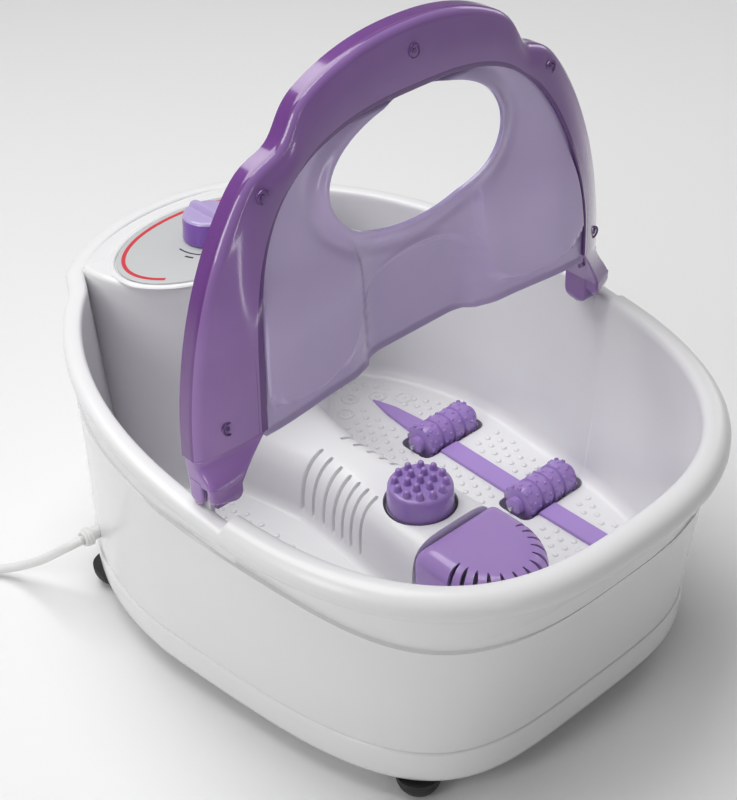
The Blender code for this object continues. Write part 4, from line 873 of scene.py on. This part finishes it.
def build_cable():
    """The cable and its strain relief, from the housing down to the table."""
    exit_at = Vector(CABLE_EXIT)
    start = [exit_at + Vector((along, 0.0, 0.0)) for along in (0.0098, 0.001, -0.0115, -0.0138)]
    path = smooth_path(start + [exit_at + Vector((-0.021, 0.006, -0.005)),
                                (-0.163, 0.140, 0.026), (-0.172, 0.168, 0.0075), (-0.190, 0.188, 0.0037)])
    cable = Shape()
    tube(cable, path, 0.0030)
    piece("cable_run", cable, [cable_white], "base", "white_plastic", "power_cable")
    sleeve = Shape()
    profile = mm((3.4, 9.5), (4.3, 9.5), (4.3, -5), (6, -5.2), (6.1, -6.2), (5.5, -6.6), (5.5, -7.4),
                 (5.9, -7.7), (5.8, -8.6), (5.1, -9), (5.1, -9.7), (5.3, -10), (4.6, -11), (3.4, -11))
    sleeve.turned(profile, tuple(exit_at), axis="X", segments=40)
    piece("cable_sleeve", sleeve, [cable_white], "base", "white_plastic", "cable_strain_relief")


# ------------------------------------------------------------------ massage parts
def build_strips():
    """Ribbons along the floor that dip into the wells under the rollers."""
    for side, name in ((-1, "left"), (1, "right")):
        upper = FLOOR_Z + 0.0024
        dip = WELL_FLOOR_Z + 0.0015
        line = [(0.098, upper - 0.0012), (0.080, upper)]
        for y in ROLLER_YS.values():
            half = WELL_WIDTH / 2 - 0.0013
            line += [(y + half, upper), (y + half, dip), (y - half, dip), (y - half, upper)]
        line.append((-0.112, upper))
        line = soften(line, 0.0016, 4)
        rows = []
        for y, z in line:
            half = 0.0004 + 0.0071 * min(max((0.098 - y) / 0.036, 0.0), 1.0) ** 0.75
            flat = half - min(0.0005, half * 0.3)
            x = side * strip_centre(y)
            right = [(flat, 0.0), (half, -0.0005), (half, -0.0022)]
            section = [(-a, b) for a, b in reversed(right)] + right
            rows.append([(x + side * a, y, z + b) for a, b in section])
        ribbon = Shape().rows(rows)
        piece("ribbon_" + name, ribbon, [strip_purple], "base", "purple_plastic", "roller_strip_" + name)


ROLLER_END = 0.0070          # length of the stub, collar and shoulder at each end
ROLLER_RIB = mm((0, -1.3), (1.1, -0.7), (1.3, 0), (1.1, 0.7), (0, 1.3))
ROLLER_SECTIONS = 4


def build_rollers():
    """Ribbed rollers with small raised nubs and notched end collars."""
    for side_name in ("left", "right"):
        for place_name in ROLLER_YS:
            node = "roller_" + place_name + "_" + side_name
            low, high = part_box(node)
            half = (high.x - low.x) / 2
            centre = [(a + b) / 2 for a, b in zip(low, high)]
            core = (high.y - low.y) / 2 - 0.0009
            end = [(1e-5, 0.0004), (0.0030, 0.0003), (0.0055, -0.0001), (0.0060, -0.0006), (0.0062, -0.0048),
                   (core - 0.0022, -0.0052), (core - 0.0008, -0.0058), (core, -ROLLER_END)]
            section = 2 * (half - ROLLER_END) / ROLLER_SECTIONS
            profile = [(radius, -half - out) for radius, out in end]
            for k in range(1, ROLLER_SECTIONS):
                middle = -half + ROLLER_END + section * k
                profile += [(core - sink, middle + along) for sink, along in ROLLER_RIB]
            profile += [(radius, half + out) for radius, out in reversed(end)]
            shape = Shape()
            shape.turned(profile, centre, axis="X", segments=72)
            for k in range(ROLLER_SECTIONS):
                for row in (0, 1):
                    x = centre[0] - half + ROLLER_END + section * (k + 0.5) + mix(-0.0021, 0.0021, row)
                    for a in around(9, start=0.35 * (k + row)):
                        nub(shape, centre, x, core, a)
            for end_side in (-1, 1):
                for a in around(12):
                    tooth(shape, centre, centre[0] + end_side * (half - 0.0064), core, a)
            piece("massage_" + node, shape, [purple], node, "purple_plastic", node)


def nub(shape, centre, x, radius, angle, size=0.0013, height=0.0009):
    """A small raised dome on a roller."""
    out = Vector((0.0, cos(angle), sin(angle)))
    tangent = Vector((0.0, -sin(angle), cos(angle)))
    along = Vector((1.0, 0.0, 0.0))
    middle = Vector((x, centre[1], centre[2])) + out * (radius - 0.00012)
    circle = [cos(a) * along + sin(a) * tangent for a in around(10)]
    rows = [[middle + size * p - out * 0.0004 for p in circle]]
    for t in spread(0.0, pi / 2 - 0.05, 4):
        rows.append([middle + size * cos(t) * p + out * height * sin(t) for p in circle])
    shape.rows(rows)


def tooth(shape, centre, x, radius, angle):
    """One tooth of a roller's end collar."""
    rows = []
    for rise, half_x, half_a in ((-0.0014, 0.0008, 0.11), (0.0004, 0.0008, 0.10), (0.0008, 0.0005, 0.07)):
        out = radius + rise
        row = []
        for sx, sa in ((-1, -1), (1, -1), (1, 1), (-1, 1)):
            a = angle + sa * half_a
            row.append((x + sx * half_x, centre[1] + out * cos(a), centre[2] + out * sin(a)))
        rows.append(row)
    shape.rows(rows)


HEAD_CAP_HEIGHT = 0.0165
HEAD_RINGS = ((0.0, 1, 0.0062), (0.0080, 6, 0.0056), (0.0155, 12, 0.0046))   # radius, nubs, nub height
NUB_FOOT = ((2.9, -1), (2.6, 0.6), (2.2, 1.8))
NUB_TIP = ((2, -1.6), (1.8, -0.8), (1.2, -0.2), (0.01, 0))


def build_head():
    """The round massage head with its rounded nubs."""
    low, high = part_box("massage_head")
    seat = low.z
    top = seat + HEAD_CAP_HEIGHT
    radius = (high.x - low.x) / 2
    profile = above(top, (0.01, 0.9), (8, 0.8), (15, 0.3), (18, 0), (19, -0.3), (19.7, -1), (20.1, -2.2),
                    (20.3, -6))
    profile += [(radius - inset, seat + up) for inset, up in mm((0.2, 4), (0, 2), (0, 0.4), (0.4, 0))]
    profile += above(seat, (4.6, 0), (4.6, 12), (0.01, 12))
    shape = Shape()
    shape.turned(profile, (0.0, HEAD_Y, 0.0), segments=96)
    for ring, count, height in HEAD_RINGS:
        stalk = above(top, *NUB_FOOT) + above(top + height, *NUB_TIP)
        for a in around(count, start=pi / count):
            x = ring * cos(a)
            y = HEAD_Y + ring * sin(a)
            shape.rows([level_ring(x, y, r, z, 20) for r, z in stalk])
    piece("massage_head_cap", shape, [purple], "head", "purple_plastic", "massage_head")
    ring = Shape()
    ring.turned(mm((20.9, 86.15), (22.9, 86.15), (22.9, 86.4), (20.9, 86.4)), (0.0, HEAD_Y, 0.0),
                segments=96)
    piece("head_seat_gasket", ring, [black_part], "base", "black_plastic", "tub")


def cover_outline(grow, z, steps=48):
    """The bubble cover's D outline, square at the back and round at the front."""
    half_width = COVER_HALF_WIDTH + grow
    back = COVER_BACK_Y + grow
    middle = COVER_BACK_Y - COVER_STRAIGHT
    reach = COVER_LENGTH - COVER_STRAIGHT + grow
    corner = 0.004
    outline = [(half_width * cos(a), middle - reach * sin(a), z) for a in spread(0.0, pi, steps + 1)]
    for x, start, end in ((corner - half_width, pi, pi / 2), (half_width - corner, pi / 2, 0.0)):
        outline += [(x + corner * cos(a), back - corner + corner * sin(a), z) for a in spread(start, end, 6)]
    return outline


COVER_SLOTS = 13
SLOT_HALF_WIDTH = 0.0015
SLOT_HALF_HEIGHT = 0.0080


def build_cover():
    """The slotted cap over the air outlet."""
    low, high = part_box("bubble_cover")
    profile = above(high.z, (-12.5, 0), (-9.5, -0.2), (-7, -0.7), (-4.8, -1.8), (-3, -3.4), (-1.6, -5.6),
                    (-0.6, -8.5), (-0.1, -12))
    profile += above(low.z, (0, 8), (0, 0), (-2, 0))
    profile += above(high.z, (-2, -13), (-2.6, -9), (-4.4, -5), (-7, -2.8), (-11, -2))
    rows = [cover_outline(grow, z) for grow, z in profile]
    obj = make_object("bubble_cover_cap", Shape().rows(rows), [cover_top])
    slots = Shape()
    middle_y = COVER_BACK_Y - COVER_STRAIGHT
    for k in range(COVER_SLOTS):
        a = pi * (k + 0.5) / COVER_SLOTS
        out = Vector((cos(a), -sin(a), 0.0))
        across = Vector((sin(a), cos(a), 0.0))
        reach = 1 / hypot(cos(a) / COVER_HALF_WIDTH, sin(a) / (COVER_LENGTH - COVER_STRAIGHT))
        rows = []
        for along in (reach - 0.0105, reach + 0.006):
            row = []
            for corner in around(20):
                w = SLOT_HALF_WIDTH * cos(corner)
                h = SLOT_HALF_HEIGHT * signed_power(sin(corner), 0.35)
                row.append(Vector((0.0, middle_y, high.z - SLOT_HALF_HEIGHT + h)) + out * along + across * w)
            rows.append(row)
        slots.rows(rows)
    combine(obj, slots, "DIFFERENCE")
    place(obj, "cover", "purple_plastic", "bubble_cover")


# ------------------------------------------------------------------ splash guard
def guard_face_y(x, z):
    """Front face of the splash panel: two toe domes beside a flat middle."""
    across = 0.0090 * smooth_step(abs(x), 0.026, 0.058) + 0.0060 * smooth_step(abs(x), 0.050, 0.122)
    up = 1 - smooth_step(z, 0.235, 0.352)
    return GUARD_FACE_Y - across * up


def arch_point(angle, half_width, middle_z, top_z, power):
    """A point on an arch seen from the front. The angle runs from +Z towards +X, in degrees."""
    a = radians(angle)
    return (half_width * signed_power(sin(a), 2 / power),
            middle_z + (top_z - middle_z) * cos(a) ** (2 / power))


def guard_outer(angle):
    """The arch's outer edge, with a shallow notch at each shoulder."""
    x, z = arch_point(angle, GUARD_HALF_WIDTH, GUARD_MIDDLE_Z, GUARD_TOP_Z, GUARD_POWER)
    notch = 1 - 0.043 * exp(-((abs(x) - 0.092) / 0.012) ** 2) * smooth_step(z, 0.29, 0.31)
    return Vector((x * notch, GUARD_MIDDLE_Z + (z - GUARD_MIDDLE_Z) * notch))


def guard_inner(angle):
    """The arch's inner edge."""
    return Vector(arch_point(angle, GUARD_INNER_HALF_WIDTH, GUARD_INNER_MIDDLE_Z, GUARD_INNER_TOP_Z,
                             GUARD_INNER_POWER))


BAND_END = 88.0              # degrees from the top of the arch to where its legs begin
BAND_ROUND = 0.0050
BAND_CROWN = 0.0012


def build_band():
    """The arch's front shell, with a deep outer side wall and a rounded front edge."""
    rows = []
    for angle in spread(-BAND_END, BAND_END, 161):
        outer = guard_outer(angle)
        inner = guard_inner(angle)
        width = (inner - outer).length
        across = (inner - outer) / width
        front_in = guard_face_y(inner.x, inner.y) - WALL - CLAMP_PLAY
        slope = (front_in - GUARD_FRONT_Y) / width
        section = [(0.0, mix(GUARD_REAR_Y, GUARD_FRONT_Y + BAND_ROUND, t))
                   for t in (0.0, 0.35, 0.7, 0.92, 1.0)]
        for t in spread(0.12, 1.0, 7):
            a = pi / 2 * t
            d = BAND_ROUND * (1 - cos(a))
            section.append((d, GUARD_FRONT_Y + BAND_ROUND * (1 - sin(a)) + d * slope))
        for share in spread(0.12, 0.88, 12):
            d = mix(BAND_ROUND, width, share)
            section.append((d, GUARD_FRONT_Y + d * slope - BAND_CROWN * sin(pi * share)))
        section += [(width - inset, front_in + back) for inset, back in (
            (0.0010, 0.0001), (0.0003, 0.0004), (0.0, 0.0010), (0.0, WALL), (0.0055, WALL))]
        section += [(width * 0.5, GUARD_FRONT_Y + width * 0.5 * slope + WALL),
                    (0.0055, GUARD_FRONT_Y + 0.0055 * slope + WALL + 0.0006),
                    (WALL, GUARD_FRONT_Y + 0.0062), (WALL, GUARD_REAR_Y)]
        rows.append([((outer + across * d).x, y, (outer + across * d).y) for d, y in section])

    # Strip 1 (outer side wall) and strip 2 (inner edge) take darker copies of the one clear purple: painted
    # shade.
    def tone(j, i):
        return 1 if i < 6 else (2 if 23 <= i <= 27 else 0)

    finishes = [band_face, shaded_clear_purple, dark_shade_purple]
    band = make_object("guard_band", Shape().rows(rows, tone=tone), finishes, sharp=44.0)
    place(band, "guard", "clear_purple_plastic", "handle_front_shell")


def side_row(side, corners, z, cut, steps):
    """A level row of a block with softened corners, mirrored onto one side of the guard."""
    return [(side * p.x, p.y, z) for p in soften(corners, cut, steps, closed=True)]


def rounding(t, start, power=2.0, least=0.0):
    """The share of full size that is left as a block rounds off from `start` to 1."""
    return sqrt(max(1 - max((t - start) / (1 - start), 0.0) ** power, least))


def build_legs():
    """The slanted legs under the arch, their toe blocks, and the lugs round the hinge ears."""
    legs = Shape()
    outer = guard_outer(BAND_END)
    inner = guard_inner(BAND_END)
    inner_face_y = guard_face_y(inner.x, inner.y) - WALL - CLAMP_PLAY
    for side in (-1, 1):
        rows = []
        for t in spread(0.0, 1.0, 25):
            inner_x = mix(inner.x, LEG_X[0], t) + 0.0012 * sin(pi * t)
            outer_x = mix(outer.x, LEG_X[3], min(t * 2, 1.0))
            inner_y = mix(inner_face_y, TOE_INNER_Y, t)
            outer_y = mix(GUARD_FRONT_Y - 0.0001, TOE_OUTER_Y, smooth_step(t, 0.1, 1.0))
            rear_y = mix(GUARD_REAR_Y, HINGE_Y + 0.0078, t)
            corners = [(inner_x, rear_y), (inner_x, inner_y), (outer_x, outer_y), (outer_x, rear_y)]
            row = []
            for p in soften(corners, 0.0034, 6, closed=True):
                share = (outer_x - p.x) / (outer_x - inner_x)
                row.append((side * p.x, p.y, mix(mix(outer.y, LEG_Z, t), mix(inner.y, LEG_Z, t), share)))
            rows.append(row)
        legs.rows(rows)
        rows = []
        for t in spread(0.0, 1.0, 15):
            shrink = 1 - rounding(t, 0.30)
            low_x, high_x = LEG_X[0] + 0.0050 * shrink, LEG_X[3] - 0.0030 * shrink
            front = 0.0046 * shrink
            corners = [(low_x, TOE_REAR_Y), (low_x, TOE_INNER_Y + front), (high_x, TOE_OUTER_Y + front),
                       (high_x, TOE_REAR_Y)]
            rows.append(side_row(side, corners, mix(LEG_Z + 0.0010, TOE_LOW_Z, t), 0.0022, 5))
        legs.rows(rows)
        for low_x, high_x, low_z, half_y, middle_y in (
                (LEG_X[0], LEG_X[1], HINGE_Z - 0.0112, 0.0088, HINGE_Y - 0.0018),
                (LEG_X[2], LEG_X[3] + 0.0002, HINGE_Z - 0.0059, 0.0056, HINGE_Y + 0.0002)):
            middle_x = (low_x + high_x) / 2
            rows = []
            for t in spread(0.0, 1.0, 13):
                half = half_y * rounding(t, 0.55, 2.6, 0.02)
                half_x = (high_x - low_x) / 2 * (1 - 0.35 * max((t - 0.75) / 0.25, 0.0) ** 2)
                corners = [(middle_x + a * half_x, middle_y + b * half)
                           for a, b in ((-1, 1), (-1, -1), (1, -1), (1, 1))]
                rows.append(side_row(side, corners, mix(LEG_Z + 0.0015, low_z, t), 0.0016, 3))
            legs.rows(rows)
    piece("guard_legs", legs, [band_face], "guard", "clear_purple_plastic", "handle_front_shell")


LOWER_BOSS_TURN = 0.955      # the lower bosses show a little higher up than their screws
BOSS_RING = ((3, 0.4), (3.1, -0.3), (3.6, -0.5), (4.1, -0.3), (4.2, 0.4))
BOSS_DIMPLE = ((0.01, -0.15), (1.3, -0.1), (1.6, 0.4), (0.01, 0.4))


def build_bosses():
    """Screw posts behind the arch's face, with the moulded ring that shows through it."""
    posts = Shape()
    rings = Shape()
    for name, angle in GUARD_SCREW_SPOTS.items():
        lower = name.startswith("lower")
        angle *= LOWER_BOSS_TURN if lower else 1.0
        share = 0.45 if lower else 0.42
        outer = guard_outer(angle)
        inner = guard_inner(angle)
        spot = outer.lerp(inner, share)
        front_in = guard_face_y(inner.x, inner.y) - WALL - CLAMP_PLAY
        face = GUARD_FRONT_Y + (front_in - GUARD_FRONT_Y) * share - 0.0012
        centre = (spot.x, 0.0, spot.y)
        post_end = GUARD_REAR_Y - WALL - 0.0003
        post = above(face, (0.01, 1.2), (3.6, 1.2)) + above(post_end, (3.4, 0), (0.01, 0))
        posts.turned(post, centre, axis="Y", segments=36)
        for profile, segments in ((BOSS_RING, 40), (BOSS_DIMPLE, 24)):
            rings.turned(above(face, *profile), centre, axis="Y", segments=segments)
    # Posts and rings take the darkest copy of the clear purple: painted shade where they show through the
    # arch's face.
    piece("guard_screw_posts", posts, [dark_shade_purple], "guard", "clear_purple_plastic", "handle_front_shell")
    piece("guard_boss_rings", rings, [dark_shade_purple], "guard", "clear_purple_plastic", "handle_front_shell")


def panel_face_y(x, z):
    """The panel's face, which runs level where it is tucked between the shells."""
    across = abs(x) / GUARD_INNER_HALF_WIDTH
    up = max(z - GUARD_INNER_MIDDLE_Z, 0.0) / (GUARD_INNER_TOP_Z - GUARD_INNER_MIDDLE_Z)
    outside = (across ** GUARD_INNER_POWER + up ** GUARD_INNER_POWER) ** (1 / GUARD_INNER_POWER)
    scale = 1 / max(outside, 1.0)
    return guard_face_y(x * scale, GUARD_INNER_MIDDLE_Z + (z - GUARD_INNER_MIDDLE_Z) * scale)


def panel_edge_point(angle):
    """The panel's outer boundary in a direction from the middle of the grip hole."""
    direction = Vector((sin(angle), cos(angle)))
    low, high = 0.0, 0.4
    tall = GUARD_INNER_TOP_Z + PANEL_TUCK - 0.0004 - GUARD_INNER_MIDDLE_Z
    for _ in range(40):
        reach = (low + high) / 2
        x = abs(direction.x * reach)
        z = GRIP_Z + direction.y * reach
        up = max(z - GUARD_INNER_MIDDLE_Z, 0.0)
        inside = (x / PANEL_HALF_WIDTH) ** GUARD_INNER_POWER + (up / tall) ** GUARD_INNER_POWER < 1
        inside = inside and z > PANEL_BOTTOM_Z
        low, high = (reach, high) if inside else (low, reach)
    return Vector((direction.x * low, GRIP_Z + direction.y * low))


RECESS_HALF_WIDTH = 0.0385


def panel_relief(x, z, to_hole):
    """How far the panel's front stands back from its plain face."""
    lip = -0.0034 * exp(-(to_hole / 0.0050) ** 2) + 0.0012 * exp(-((to_hole - 0.012) / 0.004) ** 2)
    ax = abs(x)
    arch_top = 0.249 + 0.016 * sqrt(max(1 - (x / RECESS_HALF_WIDTH) ** 2, 0.0))
    to_arch = min(arch_top - z, RECESS_HALF_WIDTH - ax)
    ridge = 0.0006 * exp(-((to_arch + 0.0026) / 0.0018) ** 2)
    recess = 0.0024 * smooth_step(to_arch, -0.0016, 0.0016) - ridge
    reach = (abs(ax - 0.0850) / 0.0420) ** 2.6 + (abs(z - 0.2640) / 0.0450) ** 2.6
    toe_dome = -0.0036 * smooth_step(1.0 - reach, -0.05, 0.11) * (1 - smooth_step(z, 0.265, 0.300))
    bead = -0.0022 * exp(-((z - PANEL_BOTTOM_Z) / 0.0018) ** 2)
    return lip + recess + toe_dome + bead


def build_panel():
    """The clear splash panel, from the grip hole's edge out to the arch."""
    middle = Vector((0.0, GRIP_Z))
    corner = atan2(PANEL_HALF_WIDTH * 0.999, PANEL_BOTTOM_Z + 0.0002 - GRIP_Z)
    angles = sorted(around(260, start=0.003) + [corner, 2 * pi - corner])
    front = []
    back = []
    for share in spread(0.0, 0.14, 12)[:-1] + spread(0.14, 1.0, 88):
        line = []
        behind = []
        for angle in angles:
            hole = Vector((GRIP_HALF_WIDTH * sin(angle), GRIP_Z + GRIP_HALF_HEIGHT * cos(angle)))
            edge = panel_edge_point(atan2(hole.x, hole.y - GRIP_Z))
            if (edge - middle).length < (hole - middle).length + 0.0012:
                edge = hole + (hole - middle).normalized() * 0.0012
            point = hole.lerp(edge, share)
            relief = panel_relief(point.x, point.y, (point - hole).length)
            if point.y > PANEL_BOTTOM_Z + 0.004 and edge.y > PANEL_BOTTOM_Z + 0.001:
                relief *= smooth_step((edge - point).length, 0.0030, 0.0065)
            y = panel_face_y(point.x, point.y) + relief
            line.append((point.x, y, point.y))
            behind.append((point.x, y + PANEL_THICKNESS, point.y))
        front.append(line)
        back.append(behind)
    # The two edge strips take the darker lavender copy, which is painted shade.
    edges = (len(front) - 1, len(front) * 2 - 1)
    panel = Shape().rows(front + back[::-1], close=True, tone=lambda j, i: int(j in edges))
    piece("splash_panel_clear", panel, [panel_clear, panel_edge_shade], "guard", "clear_lavender_plastic",
          "splash_panel", sharp=50.0)


# ------------------------------------------------------------------ build everything
build_tub()
build_island()
build_pod()
build_bumps()
build_housing()
build_base()
build_feet()
build_controls()
build_cable()
build_strips()
build_rollers()
build_head()
build_cover()
build_band()
build_legs()
build_bosses()
build_panel()


# ------------------------------------------------------------------ floor, light and camera
def build_stage():
    """A pale sheet that runs level under the object and curves up behind it."""
    floor_mat = plastic("studio_floor", (0.86, 0.86, 0.86), 0.55, variation=0.006, grain=300.0, bump=0.02,
                        scale=2.0)
    low = -0.0002
    bend_y, bend_radius = 2.2, 0.8
    line = [(-14.0, low), (bend_y, low)]
    for a in spread(0.15, pi / 2, 12):
        line.append((bend_y + bend_radius * sin(a), bend_radius * (1 - cos(a)) + low))
    line.append((bend_y + bend_radius, 3.5))
    sheet = [[(x, y, z) for x in spread(-12.0, 12.0, 9)] for y, z in line]
    floor = make_object("studio_sweep", Shape().rows(sheet, wrap=False, caps=False), [floor_mat])
    if floor.data.polygons[0].normal.z < 0:
        floor.data.flip_normals()


def area_light(name, location, target, size, energy, size_y=None):
    """A square or oblong lamp that faces its target."""
    data = bpy.data.lights.new(name, "AREA")
    data.energy = energy
    data.size = size
    if size_y:
        data.shape = "RECTANGLE"
        data.size_y = size_y
    obj = bpy.data.objects.new(name, data)
    obj.location = location
    obj.rotation_euler = (Vector(target) - Vector(location)).to_track_quat("-Z", "Y").to_euler()
    bpy.context.scene.collection.objects.link(obj)


def build_lights():
    """Softboxes above and beside the object, and a world that is brighter behind it."""
    middle = (0.0, 0.0, 0.12)
    area_light("light_top", (-0.20, 0.50, 1.7), middle, 1.3, 21.0)
    area_light("light_left", (-1.7, -0.1, 1.1), middle, 0.5, 7.0, 0.9)
    area_light("light_strip", (-0.45, -1.8, 0.50), middle, 0.08, 1.5, 1.2)
    area_light("light_right", (1.7, 0.2, 0.9), middle, 0.5, 2.0, 0.8)
    world = bpy.data.worlds.new("studio")
    bpy.context.scene.world = world
    world.use_nodes = True
    tree = world.node_tree
    background = tree.nodes["Background"]
    set_sockets(background, {"Color": (1.0, 1.0, 1.0, 1.0)})
    direction = add_node(tree, "TexCoord", {})
    split = add_node(tree, "SeparateXYZ", {})
    strength = add_node(tree, "MapRange", {"From Min": -0.8, "From Max": 0.5, "To Min": 0.10, "To Max": 0.62})
    tree.links.new(direction.outputs["Generated"], split.inputs["Vector"])
    tree.links.new(split.outputs["Y"], strength.inputs["Value"])
    tree.links.new(strength.outputs["Result"], background.inputs["Strength"])
    bpy.context.scene.view_settings.view_transform = "Standard"


CAMERA_TURNS = (41.605, 35.842, -1.795)      # yaw from +Y, pitch down and roll, in degrees
CAMERA_PLACE = (-0.5516, -0.6197, 0.7414)
CAMERA_LENS = 76.58


def build_camera():
    """A camera that looks down at the heel end from the user's left."""
    yaw, pitch, roll = (radians(turn) for turn in CAMERA_TURNS)
    forward = Vector((sin(yaw) * cos(pitch), cos(yaw) * cos(pitch), -sin(pitch)))
    level = Vector((cos(yaw), -sin(yaw), 0.0))
    upright = level.cross(forward)
    right = level * cos(roll) + upright * sin(roll)
    up = upright * cos(roll) - level * sin(roll)
    matrix = Matrix((right, up, -forward)).transposed().to_4x4()
    matrix.translation = CAMERA_PLACE
    data = bpy.data.cameras.new("camera")
    data.sensor_width = 36.0
    data.lens = CAMERA_LENS
    camera = bpy.data.objects.new("camera", data)
    bpy.context.scene.collection.objects.link(camera)
    camera.matrix_world = matrix
    bpy.context.scene.camera = camera


build_stage()
build_lights()
build_camera()
